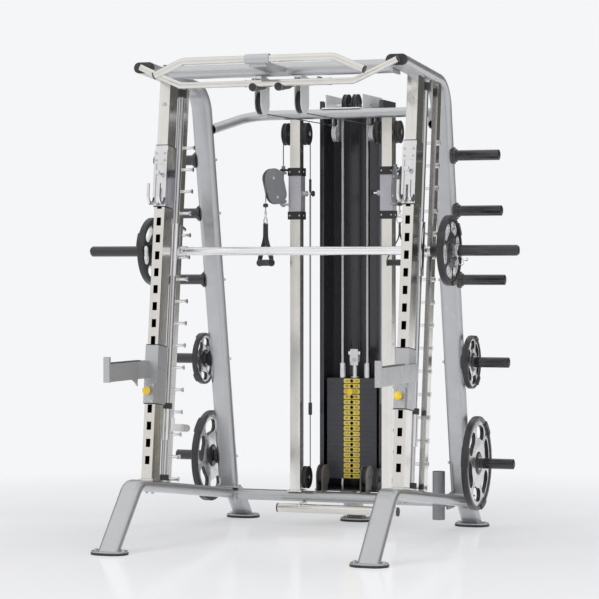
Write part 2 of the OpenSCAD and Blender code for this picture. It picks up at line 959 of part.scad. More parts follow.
module selector_stem() {
    head = lift_z1;
    color(chrome) difference() {
        union() {
            translate([0, stack_y, selector_z - 160]) cylinder(d = stem_d, h = head - selector_z + 240);
            translate([-30, stack_y - 14, head + 112]) cube([60, 28, 16]);
            translate([-24, stack_y - 10, head + 78]) cube([48, 20, 40]);
            translate([0, stack_y, head]) cylinder(d = 44, h = 8);
        }
        translate([0, stack_y - 30, selector_z]) rotate([-90, 0, 0])
            cylinder(d = selector_d + 2 * run, h = 60);
    }
    color(black) for (s = [-1, 1]) translate([s * guide_x, stack_y, head]) difference() {
        cylinder(d = 38, h = 72);
        translate([0, 0, -1]) cylinder(d = guide_d + 1, h = 74);
    }
}

module selector_pin() {
    y0 = stack_y - 51;
    translate([0, 0, selector_z]) {
        color(chrome) translate([0, y0 - 18, 0]) rotate([-90, 0, 0]) cylinder(d = selector_d, h = 92);
        color(yellow) translate([0, y0 - 34, 0]) rotate([-90, 0, 0]) {
            cylinder(d = 26, h = 17);
            translate([0, 0, 12]) cylinder(d = 32, h = 5);
        }
    }
}

module top_pulley_bracket() {
    t = 5;
    front = 530;
    depth = 350;
    color(pale) {
        difference() {
            union() {
                for (s = [-1, 1]) translate([s * (bracket_half - t / 2) - t / 2, front + 50, bracket_z])
                    cube([t, depth - 50, 72]);
                translate([-bracket_half, front, bracket_z]) cube([2 * bracket_half, depth, 6]);
            }
            translate([0, overhead_y, overhead_z]) x_cyl(axle_d + 0.02, 300);
            // slots for the wheels and the stack cables
            for (s = [-1, 1]) translate([s * overhead_x - 15, overhead_y - 50, bracket_z - 1])
                cube([30, 110, 8]);
        }
        // rear guide pulleys of the lat cables, under the bracket
        for (s = [-1, 1]) translate([s * lat_x, rear_lat_y, rear_lat_z]) {
            wheel(80, 20, axle_d);
            for (e = [-1, 1]) translate([e * 13.5 - 1.5, -16, -16])
                cube([3, 32, bracket_z - rear_lat_z + 16]);
            x_cyl(axle_d, 34);
        }
    }
}

module foot_bar() {
    color(chrome) translate([0, 485, 83]) x_cyl(42, 592);
    color(silver) both() difference() {
        translate([180, 465, 88]) cube([10, 100, column_z0 - tube_t - 88]);
        translate([0, 485, 83]) x_cyl(41, 700);
    }
}

module bar_holder() {
    x = 502;
    y = 468;
    color(grey) {
        difference() {
            union() {
                translate([x, y, 57]) cylinder(d = 58, h = 224);
                translate([x, y - 24, 118]) cube([half_frame - tube_w / 2 - x, 48, 50]);
            }
            translate([x, y, 61]) cylinder(d = 53, h = 230);
        }
    }
}

// ---------- trolleys and handles ----------

module at_right_swivel(a) {
    translate([swivel_x, swivel_y, 0]) rotate([0, 0, a]) translate([-swivel_x, -swivel_y, 0]) children();
}

module trolley() {
    z0 = trolley_z - trolley_h / 2;
    z1 = trolley_z + trolley_h / 2;
    lug_t = 10;
    boss_in = column_x - trolley_w / 2 - 22;
    difference() {
        union() {
            translate([column_x - trolley_w / 2, column_y - trolley_w / 2, z0])
                cube([trolley_w, trolley_w, trolley_h]);
            for (z = [z0, z1 - collar_h]) translate([column_x - 34, column_y - 34, z])
                cube([68, 68, collar_h]);
            for (z = [z0 + 66, z1 - 16]) translate([0, 0, z])
                slot_plate([swivel_x - 22, swivel_y + 32], [swivel_x, swivel_y], 32, lug_t);
            translate([boss_in, column_y, trolley_z]) x_rod(26, 0, 24);
        }
        translate([column_x, column_y, z0 - 1]) linear_extrude(trolley_h + 2)
            square(column_w + 2 * slide_gap, center = true);
        translate([swivel_x, swivel_y, z0]) cylinder(d = 18 + 2 * run, h = trolley_h + 2);
        translate([boss_in - 1, column_y, trolley_z]) x_rod(10 + 2 * run, 0, 60);
    }
}

module trolley_left() {
    color(grey) left() trolley();
}

module trolley_right() {
    color(grey) trolley();
}

// Spring pin of a trolley, drawn back out of the column
module trolley_pin() {
    tip = column_x - column_w / 2 - slide_gap;
    translate([tip, column_y, trolley_z]) {
        color(chrome) x_rod(10, -52, 0);
        color(black) x_rod(28, -62, -46);
    }
}

module trolley_pin_left() {
    left() trolley_pin();
}

module trolley_pin_right() {
    trolley_pin();
}

// Swivelling pulley head, pointing straight out from its column
module swivel_head() {
    wheel_x = swivel_x + head_pulley_r - cable_inset;
    lean = 13;
    stub_top = trolley_z + trolley_h / 2;
    lug_low = trolley_z - trolley_h / 2 + 66;
    color(grey) difference() {
        union() {
            for (s = [-1, 1]) translate([wheel_x, swivel_y + s * 14.5 + 2, head_z]) xz()
                rotate([0, 0, -lean]) slot_plate([0, -38], [0, 38], 96, 4);
            for (z = [lug_low + 14, stub_top - 32]) translate([swivel_x - 11, swivel_y - 13.5, z])
                cube([40, 27, 12]);
            translate([swivel_x, swivel_y, stub_top - 32]) cylinder(d = 18, h = 40);
            translate([swivel_x, swivel_y, lug_low - 6]) cylinder(d = 18, h = 24);
        }
        // the cable's way down through both pivots
        translate([swivel_x, swivel_y, lug_low - 10]) cylinder(d = cable_d + 2, h = trolley_h);
        translate([wheel_x, swivel_y, head_z]) y_cyl(axle_d + 0.02, 60);
    }
    color(black) translate([wheel_x, swivel_y, head_z]) rotate([0, 0, 90])
        wheel(2 * head_pulley_r, wheel_w, axle_d);
    color(chrome) translate([wheel_x, swivel_y, head_z]) y_cyl(axle_d, 42);
    color(black) translate([wheel_x + head_pulley_r - 4.2, swivel_y, head_drop_z])
        cylinder(d = cable_d - 0.4, h = head_z - head_drop_z);
}

module swivel_head_left() {
    left() at_right_swivel(-left_head_turn) swivel_head();
}

module swivel_head_right() {
    at_right_swivel(-right_head_turn) swivel_head();
}

// Cable stop with its clamp pin, ring, webbing strap and D-handle grip, hanging from a head
module handle() {
    x = swivel_x + 2 * (head_pulley_r - cable_inset);
    stop_z = head_drop_z - 22;
    ring_z = 1446;
    fork_z = 1368;
    grip_z = 1256;
    half = 60;
    strap_w = 24;
    strap_t = 4;
    translate([x, swivel_y, 0]) {
        color(black) translate([0, 0, stop_z]) cylinder(d = 25, h = 20);
        color(chrome) translate([0, 0, stop_z + 10]) y_cyl(6, 28);
        color(black) translate([0, 0, ring_z + 14]) cylinder(d = cable_d, h = stop_z - ring_z - 13);
        rotate([0, 0, handle_twist]) {
            color(chrome) translate([0, 0, ring_z]) rotate([90, 0, 0]) rotate_extrude()
                translate([15, 0]) circle(d = 7);
            color(black) {
                // both legs of the strap, sewn together from the ring down to the fork
                translate([-strap_t, -strap_w / 2, fork_z - 6])
                    cube([2 * strap_t, strap_w, ring_z - 7 - fork_z]);
                for (s = [-1, 1]) translate([0, strap_w / 2, 0]) xz() linear_extrude(strap_w)
                    polygon([[s * strap_t, fork_z], [s * -1, fork_z - 8], [s * (half - 5), grip_z],
                             [s * half, grip_z]]);
                for (s = [-1, 1]) translate([s * (half - 3) - 2.5, -strap_w / 2, grip_z - 17])
                    cube([5, strap_w, 19]);
                translate([0, 0, grip_z - 8]) x_cyl(30, 2 * half - 5);
            }
        }
    }
}

module handle_left() {
    left() at_right_swivel(-left_head_turn) handle();
}

module handle_right() {
    at_right_swivel(-right_head_turn) handle();
}

// ---------- cables and fasteners ----------

module cables() {
    cover = head_z + 4;
    lat_run_z = lat_z - (pulley_d - 9) / 2 + cable_inset;
    clip_z = 1588;
    anchor_z = 520;
    color(black) both() {
        // from the outer top pulley down through the trolley's hollow stub
        translate([swivel_x, swivel_y, cover]) cylinder(d = cable_d - 0.4, h = top_pulley_z - cover);
        // down the rear of the inner pulleys: rope, clip, thicker lower strand and anchor
        translate([column_x - pulley_side, column_y + pulley_d / 2 - cable_inset, 0]) {
            translate([0, 0, base_pulley_z])
                cylinder(d = cable_d - 0.4, h = top_pulley_z - base_pulley_z);
            translate([0, 0, clip_z]) cylinder(d = 12, h = 60);
            translate([0, 0, anchor_z]) cylinder(d = 8, h = clip_z - anchor_z);
            translate([0, 0, anchor_z]) cylinder(d = 18, h = 58);
        }
        // lat cable, from its pulley back to the rear guide pulley
        rod([lat_x, lat_y + 8, lat_run_z - 0.5], [lat_x, rear_lat_y, rear_lat_z + 37], cable_d - 0.4);
    }
}

module stack_cable() {
    color(black) both() translate([overhead_x, stack_y, lift_z1 + 128])
        cylinder(d = cable_d, h = overhead_z - lift_z1 - 128);
}

module frame_bolts() {
    rail_up = [90 + rail_drop, 0, 0];
    color(chrome) {
        both() {
            // bolts through the top rails
            for (d = [26, 58, 178, 214]) translate([half_frame, rail_front[0], rail_front[1]])
                rotate([-rail_drop, 0, 0]) translate([d > 100 ? -22 : 22 - d * 0.4, 100 + d, tube_t / 2])
                bolt_head(13);
            // bolts under the front uprights and posts, through the base rails
            mast() for (y = [12, 76]) translate([half_frame, y, rail_top_z - tube_t - 0.4])
                mirror([0, 0, 1]) bolt_head(13);
            // bolts through the rear uprights' flanges
            mast() for (x = [-42, 42], y = [965, 1033])
                translate([half_frame + x, y, rail_top_z + 8]) bolt_head(11);
            // front face of the uprights, near the top rail
            mast() translate([half_frame, 0, 1600]) rotate([90, 0, 0]) bolt_head(14);
            // flange bolts of the base crossmember
            for (y = [-51, 51]) translate([half_frame - tube_w / 2 - 8, cross_y + y, cross_z + 12])
                rotate([0, -90, 0]) bolt_head(8);
            // backs of the storage horns' bolts, on the rear uprights' inner sides
            for (z = horn_z) translate([half_frame - tube_w / 2 + 0.3, rear_y(z), z])
                rotate([0, -90, 0]) bolt_head(12);
        }
    }
}

base_rails();
foot_pads();
rear_uprights();
front_uprights();
peg_posts();
lock_pegs();
guide_rods();
rubber_bumpers();
base_crossmember();
top_crossmember();
rear_arch_tube();
wide_pull_up_bar();
front_pull_up_bar();
close_grip_handles();
tube_end_caps();
storage_horns();
storage_plates();
pulley_columns();
pulley_axles();
pulley_housings();
stack_shroud();
stack_guide_rods();
stack_plates();
top_pulley_bracket();
foot_bar();
bar_holder();
frame_bolts();
cables();
stack_cable();
lifted_plates();
selector_stem();
selector_pin();
overhead_pulleys();
lat_pulleys();
column_top_pulleys();
column_base_pulleys();
low_pulleys();
trolley_left();
trolley_right();
trolley_pin_left();
trolley_pin_right();
swivel_head_left();
swivel_head_right();
handle_left();
handle_right();
bar_carriages();
smith_bar();
bar_sleeves();
bar_hooks();
bar_plates();
safety_stop_left();
safety_stop_right();
stop_cushion_left();
stop_cushion_right();
spotter_arm_left();
spotter_arm_right();
rack_hook_left();
rack_hook_right();
arm_pin_left();
arm_pin_right();
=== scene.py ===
import json
import math

import bmesh
import bpy
from mathutils import Matrix, Vector


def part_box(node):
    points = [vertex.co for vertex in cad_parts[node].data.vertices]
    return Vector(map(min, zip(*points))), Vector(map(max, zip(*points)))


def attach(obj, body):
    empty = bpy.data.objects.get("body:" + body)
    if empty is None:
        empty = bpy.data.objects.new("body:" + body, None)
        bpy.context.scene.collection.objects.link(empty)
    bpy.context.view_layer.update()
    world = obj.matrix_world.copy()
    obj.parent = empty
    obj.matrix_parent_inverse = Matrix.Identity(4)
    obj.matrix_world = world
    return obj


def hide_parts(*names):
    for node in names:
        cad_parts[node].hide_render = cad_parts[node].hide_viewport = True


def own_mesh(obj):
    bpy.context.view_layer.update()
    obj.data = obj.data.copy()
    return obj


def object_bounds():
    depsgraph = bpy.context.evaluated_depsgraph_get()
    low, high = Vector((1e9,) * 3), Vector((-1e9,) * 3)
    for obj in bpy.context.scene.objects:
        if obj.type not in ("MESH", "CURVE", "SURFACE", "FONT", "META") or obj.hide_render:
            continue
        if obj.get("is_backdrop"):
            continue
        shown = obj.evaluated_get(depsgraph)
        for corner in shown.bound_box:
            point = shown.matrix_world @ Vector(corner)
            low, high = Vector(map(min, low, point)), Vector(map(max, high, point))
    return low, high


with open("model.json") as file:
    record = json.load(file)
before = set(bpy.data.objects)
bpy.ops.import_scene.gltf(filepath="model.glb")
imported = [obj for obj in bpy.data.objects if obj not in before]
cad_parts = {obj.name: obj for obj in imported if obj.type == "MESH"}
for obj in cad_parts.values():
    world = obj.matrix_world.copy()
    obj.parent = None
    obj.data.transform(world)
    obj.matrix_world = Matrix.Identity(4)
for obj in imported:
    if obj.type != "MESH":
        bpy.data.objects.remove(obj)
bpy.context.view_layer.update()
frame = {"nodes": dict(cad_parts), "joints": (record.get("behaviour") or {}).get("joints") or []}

# Looks for the smith machine. The CAD nodes keep their shape and get materials here. The pieces
# that CAD leaves plain (plates, straps, covers, labels, clips) are built in mesh code and ride
# on the CAD bodies. Lengths are in metres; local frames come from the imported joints.

NODES = frame["nodes"]
JOINTS = {joint["name"]: joint for joint in frame["joints"]}
X = Vector((1, 0, 0))
Y = Vector((0, 1, 0))
Z = Vector((0, 0, 1))

# Mast frame: x across, y to the rear, z up the mast; its origin is rack hole 0 on the front face
MAST_UP = Vector(JOINTS["bar_travel"]["axis"])
MAST_BACK = MAST_UP.cross(X)
BAR_BACK = 0.236
BAR_HEIGHT = 0.9632
BAR_AXIS = Vector(JOINTS["bar_roll"]["pos_m"])
MAST_ORIGIN = BAR_AXIS - MAST_BACK * BAR_BACK - MAST_UP * BAR_HEIGHT
MAST_ORIGIN.x = 0
HALF_FRAME = 0.5825
UPRIGHT_W = 0.050
UPRIGHT_D = 0.090
HOLE_PITCH = 0.0762


def mast(x, y, z):
    """A point given in the mast frame, as a point in the machine."""
    return MAST_ORIGIN + X * x + MAST_BACK * y + MAST_UP * z


def axes(origin, x, y, z):
    """The matrix of a local frame."""
    place = Matrix((x, y, z)).transposed().to_4x4()
    place.translation = origin
    return place


def shift(x, y, z):
    return Matrix.Translation((x, y, z))


def spin(degrees):
    """A turn about Z."""
    return Matrix.Rotation(math.radians(degrees), 4, "Z")


def facing(origin, normal, up=Z):
    """A local frame whose z is normal and whose y is as near to up as it can be."""
    z = Vector(normal).normalized()
    x = Vector(up).cross(z)
    if x.length < 1e-6:
        x = X.copy()
    x.normalize()
    return axes(Vector(origin), x, z.cross(x), z)


MIRROR = Matrix.Scale(-1, 4, X)


def side_place(side, place):
    """place as given for the right side, or mirrored for the left."""
    return place if side > 0 else MIRROR @ place


def on_mast(side, out, y, z):
    """A mast frame on one front upright, with its origin out from the upright's middle."""
    return side_place(side, axes(mast(HALF_FRAME + out, y, z), X, MAST_BACK, MAST_UP))


SIDES = {"left": -1, "right": 1}
FORWARD = facing((0, 0, 0), -Y)

# ---------------------------------------------------------------- materials


class Finish:
    """A Principled material, with short calls for the nodes that give it detail."""

    def __init__(self, name, color, metallic=0.0, roughness=0.5, coat=0.0, sheen=0.0, ior=1.5):
        self.material = bpy.data.materials.new(name)
        self.material.use_nodes = True
        self.material.diffuse_color = (*color, 1)
        self.tree = self.material.node_tree
        self.shader = self.tree.nodes["Principled BSDF"]
        self.normal = None
        self.coords = self.tree.nodes.new("ShaderNodeTexCoord").outputs["Object"]
        values = {"Base Color": (*color, 1), "Metallic": metallic, "Roughness": roughness,
                  "Coat Weight": coat, "Coat Roughness": 0.12, "Sheen Weight": sheen, "IOR": ior}
        for key, value in values.items():
            self.shader.inputs[key].default_value = value

    def wire(self, value, socket):
        if isinstance(value, bpy.types.NodeSocket):
            self.tree.links.new(value, socket)
        else:
            socket.default_value = value

    def stretched(self, stretch):
        if stretch == (1, 1, 1):
            return self.coords
        node = self.tree.nodes.new("ShaderNodeMapping")
        node.inputs["Scale"].default_value = stretch
        self.wire(self.coords, node.inputs["Vector"])
        return node.outputs["Vector"]

    def noise(self, scale, detail=2.0, stretch=(1, 1, 1), distortion=0.0):
        node = self.tree.nodes.new("ShaderNodeTexNoise")
        node.inputs["Scale"].default_value = scale
        node.inputs["Detail"].default_value = detail
        node.inputs["Distortion"].default_value = distortion
        self.wire(self.stretched(stretch), node.inputs["Vector"])
        return node.outputs["Fac"]

    def cells(self, scale, feature="F1", stretch=(1, 1, 1)):
        node = self.tree.nodes.new("ShaderNodeTexVoronoi")
        node.feature = feature
        node.inputs["Scale"].default_value = scale
        self.wire(self.stretched(stretch), node.inputs["Vector"])
        return node.outputs["Distance"]

    def wave(self, scale, direction="X", distortion=0.0):
        node = self.tree.nodes.new("ShaderNodeTexWave")
        node.bands_direction = direction
        node.inputs["Scale"].default_value = scale
        node.inputs["Distortion"].default_value = distortion
        self.wire(self.coords, node.inputs["Vector"])
        return node.outputs["Fac"]

    def spread(self, value, low, high, start=0.0, end=1.0):
        """value between start and end, mapped to low to high."""
        node = self.tree.nodes.new("ShaderNodeMapRange")
        self.wire(value, node.inputs["Value"])
        for key, number in (("From Min", start), ("From Max", end), ("To Min", low), ("To Max", high)):
            node.inputs[key].default_value = number
        return node.outputs["Result"]

    def maths(self, operation, a, b=0.0):
        node = self.tree.nodes.new("ShaderNodeMath")
        node.operation = operation
        self.wire(a, node.inputs[0])
        self.wire(b, node.inputs[1])
        return node.outputs["Value"]

    def radius(self):
        """Distance from the object's own Z axis."""
        node = self.tree.nodes.new("ShaderNodeVectorMath")
        node.operation = "LENGTH"
        flat = self.stretched((1, 1, 0.0001))
        self.wire(flat, node.inputs[0])
        return node.outputs["Value"]

    def mix(self, factor, a, b):
        node = self.tree.nodes.new("ShaderNodeMix")
        node.data_type = "RGBA"
        self.wire(factor, node.inputs[0])
        self.wire(a if not isinstance(a, tuple) else (*a, 1), node.inputs[6])
        self.wire(b if not isinstance(b, tuple) else (*b, 1), node.inputs[7])
        return node.outputs[2]

    def edges(self, width):
        """1 on outer edges, 0 on open faces."""
        bevel = self.tree.nodes.new("ShaderNodeBevel")
        bevel.samples = 3
        bevel.inputs["Radius"].default_value = width
        shape = self.tree.nodes.new("ShaderNodeNewGeometry")
        dot = self.tree.nodes.new("ShaderNodeVectorMath")
        dot.operation = "DOT_PRODUCT"
        self.wire(bevel.outputs["Normal"], dot.inputs[0])
        self.wire(shape.outputs["Normal"], dot.inputs[1])
        return self.spread(dot.outputs["Value"], 1.0, 0.0, 0.80, 0.97)

    def soft_edges(self, width):
        """Rounds every sharp edge in the shading."""
        bevel = self.tree.nodes.new("ShaderNodeBevel")
        bevel.samples = 4
        bevel.inputs["Radius"].default_value = width
        self.normal = bevel.outputs["Normal"]
        self.wire(self.normal, self.shader.inputs["Normal"])

    def bump(self, height, depth, strength=1.0):
        """Adds a relief of the given depth in metres."""
        node = self.tree.nodes.new("ShaderNodeBump")
        node.inputs["Distance"].default_value = depth
        node.inputs["Strength"].default_value = strength
        self.wire(height, node.inputs["Height"])
        if self.normal is not None:
            self.wire(self.normal, node.inputs["Normal"])
        self.normal = node.outputs["Normal"]
        self.wire(self.normal, self.shader.inputs["Normal"])

    def base(self, color):
        self.wire(color, self.shader.inputs["Base Color"])

    def roughness(self, value):
        self.wire(value, self.shader.inputs["Roughness"])


def shade(color, factor):
    return tuple(min(1.0, part * factor) for part in color)


def powder_coat(name, color, metallic=0.55, roughness=0.36):
    """Sprayed metallic powder coat: flakes, a fine orange peel and rubbed edges."""
    f = Finish(name, color, metallic, roughness, coat=0.25)
    f.soft_edges(0.0020)
    flakes = f.cells(2600)
    cloud = f.noise(7, 4)
    tone = f.mix(f.spread(flakes, 0, 1, 0.1, 0.8), shade(color, 0.90), shade(color, 1.10))
    tone = f.mix(f.spread(cloud, 0, 0.35, 0.35, 0.75), tone, shade(color, 0.93))
    worn = f.maths("MULTIPLY", f.edges(0.0012), f.spread(f.noise(55, 5), 0, 0.55, 0.45, 0.7))
    f.base(f.mix(worn, tone, shade(color, 1.35)))
    f.roughness(f.spread(f.noise(26, 5), roughness - 0.06, roughness + 0.09, 0.3, 0.7))
    f.bump(f.noise(520, 2), 0.00012, 0.35)
    return f.material


def plated_metal(name, color, roughness, streak, swirl=0.0):
    """Plated steel with drawn streaks along streak and faint smudges."""
    f = Finish(name, color, 1.0, roughness)
    f.soft_edges(0.0016)
    drawn = f.noise(60, 3, streak)
    smudge = f.noise(9, 4, distortion=0.6)
    tint = f.mix(f.spread(smudge, 0, 1, 0.35, 0.7), color, shade(color, 0.93))
    f.base(f.mix(f.spread(drawn, 0, 0.5, 0.3, 0.7), tint, shade(color, 0.88)))
    streaks = f.spread(drawn, -0.03, 0.05, 0.3, 0.7)
    smears = f.spread(smudge, 0.0, 0.06 + swirl, 0.4, 0.75)
    f.roughness(f.maths("ADD", f.maths("ADD", streaks, smears), roughness))
    f.bump(drawn, 0.00005, 0.25)
    return f.material


def enamel(name, color, roughness, scuff=0.35):
    """Gloss enamel on steel, scuffed where plates slide over it."""
    f = Finish(name, color, 0.0, roughness, coat=0.6)
    rub = f.noise(34, 6, (0.25, 1, 1))
    scuffs = f.spread(rub, 0, scuff, 0.55, 0.75)
    worn = f.maths("MAXIMUM", scuffs, f.maths("MULTIPLY", f.edges(0.0009), 0.5))
    f.base(f.mix(worn, color, (0.16, 0.16, 0.17)))
    f.roughness(f.spread(f.noise(48, 4), roughness - 0.05, roughness + 0.16, 0.3, 0.75))
    f.bump(f.noise(300, 3), 0.0001, 0.3)
    return f.material


def rubber(name, color=(0.018, 0.018, 0.019), roughness=0.62, grain=420):
    f = Finish(name, color, 0.0, roughness, sheen=0.15)
    f.base(f.mix(f.spread(f.noise(18, 5), 0, 1, 0.35, 0.7), color, shade(color, 2.2)))
    f.roughness(f.spread(f.noise(60, 3), roughness - 0.1, roughness + 0.12, 0.3, 0.7))
    f.bump(f.noise(grain, 3), 0.0003, 0.4)
    return f.material


def hammertone(name, color):
    """Dimpled cast-iron enamel."""
    f = Finish(name, color, 0.15, 0.34, coat=0.25)
    dimple = f.cells(230, "SMOOTH_F1")
    worn = f.maths("MULTIPLY", f.edges(0.0012), f.spread(f.noise(70, 4), 0, 0.6, 0.45, 0.65))
    f.base(f.mix(worn, f.mix(f.spread(dimple, 0, 1, 0.1, 0.7), shade(color, 1.7), color), (0.30, 0.30, 0.31)))
    f.roughness(f.spread(f.noise(40, 3), 0.28, 0.46, 0.3, 0.7))
    f.bump(dimple, 0.0008, 0.35)
    return f.material


def machined(name, color=(0.80, 0.80, 0.81)):
    """Lathe-turned steel: fine rings around the object's own Z axis."""
    f = Finish(name, color, 1.0, 0.24)
    rings = f.noise(1, 3)
    node = rings.node
    node.noise_dimensions = "1D"
    f.wire(f.maths("MULTIPLY", f.radius(), 900.0), node.inputs["W"])
    patch = f.noise(14, 4)
    f.base(f.mix(f.spread(rings, 0, 0.7, 0.3, 0.7), color, shade(color, 0.78)))
    worn = f.spread(patch, 0.20, 0.34, 0.35, 0.7)
    f.roughness(f.maths("ADD", f.spread(rings, -0.04, 0.08, 0.3, 0.7), worn))
    f.bump(rings, 0.00012, 0.4)
    return f.material


def moulded(name, color, roughness=0.45, metallic=0.0):
    """Moulded or cast cover with a fine texture and soft shine."""
    f = Finish(name, color, metallic, roughness, coat=0.1)
    tone = f.mix(f.spread(f.noise(12, 4), 0, 0.6, 0.35, 0.7), color, shade(color, 0.84))
    rubbed = f.maths("MULTIPLY", f.edges(0.001), f.spread(f.noise(80, 4), 0.1, 0.6, 0.4, 0.7))
    f.base(f.mix(rubbed, tone, shade(color, 1.5)))
    f.roughness(f.spread(f.noise(90, 3), roughness - 0.07, roughness + 0.1, 0.3, 0.7))
    f.bump(f.cells(900), 0.00015, 0.3)
    return f.material


def sheet_gloss(name, color):
    """Large sprayed sheet: gloss with a slow waviness, dust and faint vertical wipe marks."""
    f = Finish(name, color, 0.1, 0.2, coat=0.35)
    dust = f.noise(420, 2)
    wipe = f.noise(22, 4, (1, 1, 0.08))
    f.base(f.mix(f.spread(dust, 0, 0.25, 0.62, 0.8), color, shade(color, 3.0)))
    f.roughness(f.spread(wipe, 0.16, 0.34, 0.35, 0.7))
    f.bump(f.noise(5, 1), 0.0015, 0.25)
    f.bump(f.noise(420, 2), 0.00008, 0.2)
    return f.material


def webbing(name, color):
    """Woven nylon tape: a diagonal twill from two crossed waves."""
    f = Finish(name, color, 0.0, 0.78, sheen=0.4)
    weft = f.wave(520, "Z")
    warp = f.wave(430, "DIAGONAL")
    weave = f.maths("MULTIPLY", weft, warp)
    f.base(f.mix(weave, shade(color, 0.5), shade(color, 2.6)))
    f.bump(weave, 0.0006, 0.6)
    return f.material


def cable_jacket(name, color):
    """Nylon-coated cable whose wire lay shows faintly through the jacket."""
    f = Finish(name, color, 0.0, 0.3, coat=0.3)
    lay = f.wave(330, "DIAGONAL", 0.4)
    f.base(f.mix(lay, shade(color, 0.8), shade(color, 1.8)))
    f.roughness(f.spread(f.noise(120, 3), 0.24, 0.42, 0.3, 0.7))
    f.bump(lay, 0.0003, 0.4)
    return f.material


def plastic(name, color, roughness=0.32):
    f = Finish(name, color, 0.0, roughness, coat=0.15)
    f.shader.inputs["Subsurface Weight"].default_value = 0.05
    f.base(f.mix(f.spread(f.noise(30, 4), 0, 0.5, 0.4, 0.7), color, shade(color, 0.8)))
    f.roughness(f.spread(f.noise(140, 3), roughness - 0.06, roughness + 0.12, 0.3, 0.7))
    f.bump(f.noise(800, 2), 0.0001, 0.25)
    return f.material


PAINT = powder_coat("silver_powder_coat", (0.50, 0.505, 0.52), 0.78, 0.33)
PALE = powder_coat("pale_powder_coat", (0.74, 0.75, 0.76), 0.35, 0.34)
NICKEL = plated_metal("bright_nickel", (0.84, 0.825, 0.79), 0.15, (1, 1, 0.03))
NICKEL_BAR = plated_metal("nickel_bar", (0.78, 0.76, 0.72), 0.14, (0.03, 1, 1))
CHROME = plated_metal("chrome", (0.84, 0.84, 0.86), 0.08, (1, 1, 0.06))
ROD = plated_metal("guide_rod_steel", (0.66, 0.66, 0.68), 0.16, (1, 1, 0.02))
BRIGHT_BAR = plated_metal("bright_bar", (0.93, 0.93, 0.94), 0.20, (0.04, 1, 1))
ZINC = plated_metal("zinc_bolt", (0.72, 0.72, 0.74), 0.26, (1, 1, 1), 0.1)
BLACK = enamel("black_enamel", (0.010, 0.010, 0.012), 0.16, 0.15)
RUBBER = rubber("black_rubber")
GRIP = rubber("foam_grip", (0.022, 0.022, 0.024), 0.72, 900)
IRON = hammertone("hammertone_iron", (0.016, 0.016, 0.018))
STEEL = machined("machined_steel")
SHROUD = sheet_gloss("charcoal_gloss", (0.026, 0.026, 0.031))
PANEL = sheet_gloss("inner_panel_gloss", (0.062, 0.062, 0.074))
# Painted shade: the bore and rack-hole edges of the front uprights are coloured near-black so they read as
# shaded hollows.
BORE_SHADE = enamel("tube_inside_painted_shade", (0.006, 0.006, 0.006), 0.5, 0.05)
STACK = moulded("stack_satin", (0.045, 0.047, 0.055), 0.42)
GREY = moulded("grey_satin", (0.22, 0.225, 0.24), 0.36, 0.3)
LAVENDER = moulded("pale_grey_satin", (0.44, 0.44, 0.475), 0.34, 0.3)
UMBER = moulded("umber_grey", (0.17, 0.16, 0.15), 0.34, 0.3)
DARK_PLASTIC = moulded("black_nylon", (0.016, 0.016, 0.018), 0.42)
CABLE = cable_jacket("black_cable", (0.02, 0.02, 0.022))
CLEAR_CABLE = cable_jacket("grey_cable", (0.20, 0.20, 0.21))
WEBBING = webbing("black_webbing", (0.02, 0.02, 0.022))
YELLOW = plastic("yellow_plastic", (0.85, 0.60, 0.03))
LABEL = plastic("yellow_label", (0.80, 0.60, 0.10), 0.4)

NODE_FINISH = {
    PAINT: ["base_rails", "rear_uprights", "base_crossmember", "top_crossmember", "rear_arch_tube",
            "spotter_arm_left", "spotter_arm_right"],
    PALE: ["top_pulley_bracket", "pulley_housings"],
    NICKEL: ["front_uprights", "peg_posts", "pulley_columns"],
    NICKEL_BAR: ["wide_pull_up_bar", "front_pull_up_bar", "close_grip_handles", "foot_bar"],
    ROD: ["guide_rods", "stack_guide_rods"],
    CHROME: ["lock_pegs", "pulley_axles", "selector_stem", "bar_carriages", "bar_hooks",
             "safety_stop_left", "safety_stop_right", "rack_hook_left", "rack_hook_right"],
    BRIGHT_BAR: ["smith_bar"],
    ZINC: ["frame_bolts"],
    BLACK: ["storage_horns", "bar_sleeves"],
    RUBBER: ["stop_cushion_left", "stop_cushion_right", "foot_pads", "rubber_bumpers", "tube_end_caps"],
    SHROUD: ["stack_shroud"],
    STACK: ["stack_plates", "lifted_plates"],
    LAVENDER: ["trolley_left", "trolley_right"],
    GREY: ["swivel_head_left", "swivel_head_right", "bar_holder"],
    DARK_PLASTIC: ["overhead_pulleys", "lat_pulleys", "column_top_pulleys", "column_base_pulleys",
                   "low_pulleys"],
    CABLE: ["cables"],
}


def finish_nodes():
    for material, names in NODE_FINISH.items():
        for name in names:
            mesh = NODES[name].data
            mesh.materials.clear()
            mesh.materials.append(material)


def second_finish(node, material, chosen):
    """Gives material to the faces of a CAD node whose centre and normal pass chosen(centre, normal)."""
    mesh = NODES[node].data
    if not mesh.materials:
        mesh.materials.append(CHROME)
    mesh.materials.append(material)
    index = len(mesh.materials) - 1
    for face in mesh.polygons:
        if chosen(face.center, face.normal):
            face.material_index = index


def inside_upright(centre, normal):
    """Whether a face of the front uprights belongs to the bore or to a rack hole's edge; these faces take the
    near-black painted shade.
    """
    local = centre - MAST_ORIGIN
    across = abs(abs(centre.x) - HALF_FRAME)
    return across < UPRIGHT_W / 2 - 0.0008 and 0.0008 < local.dot(MAST_BACK) < UPRIGHT_D - 0.0008


# ---------------------------------------------------------------- mesh shapes


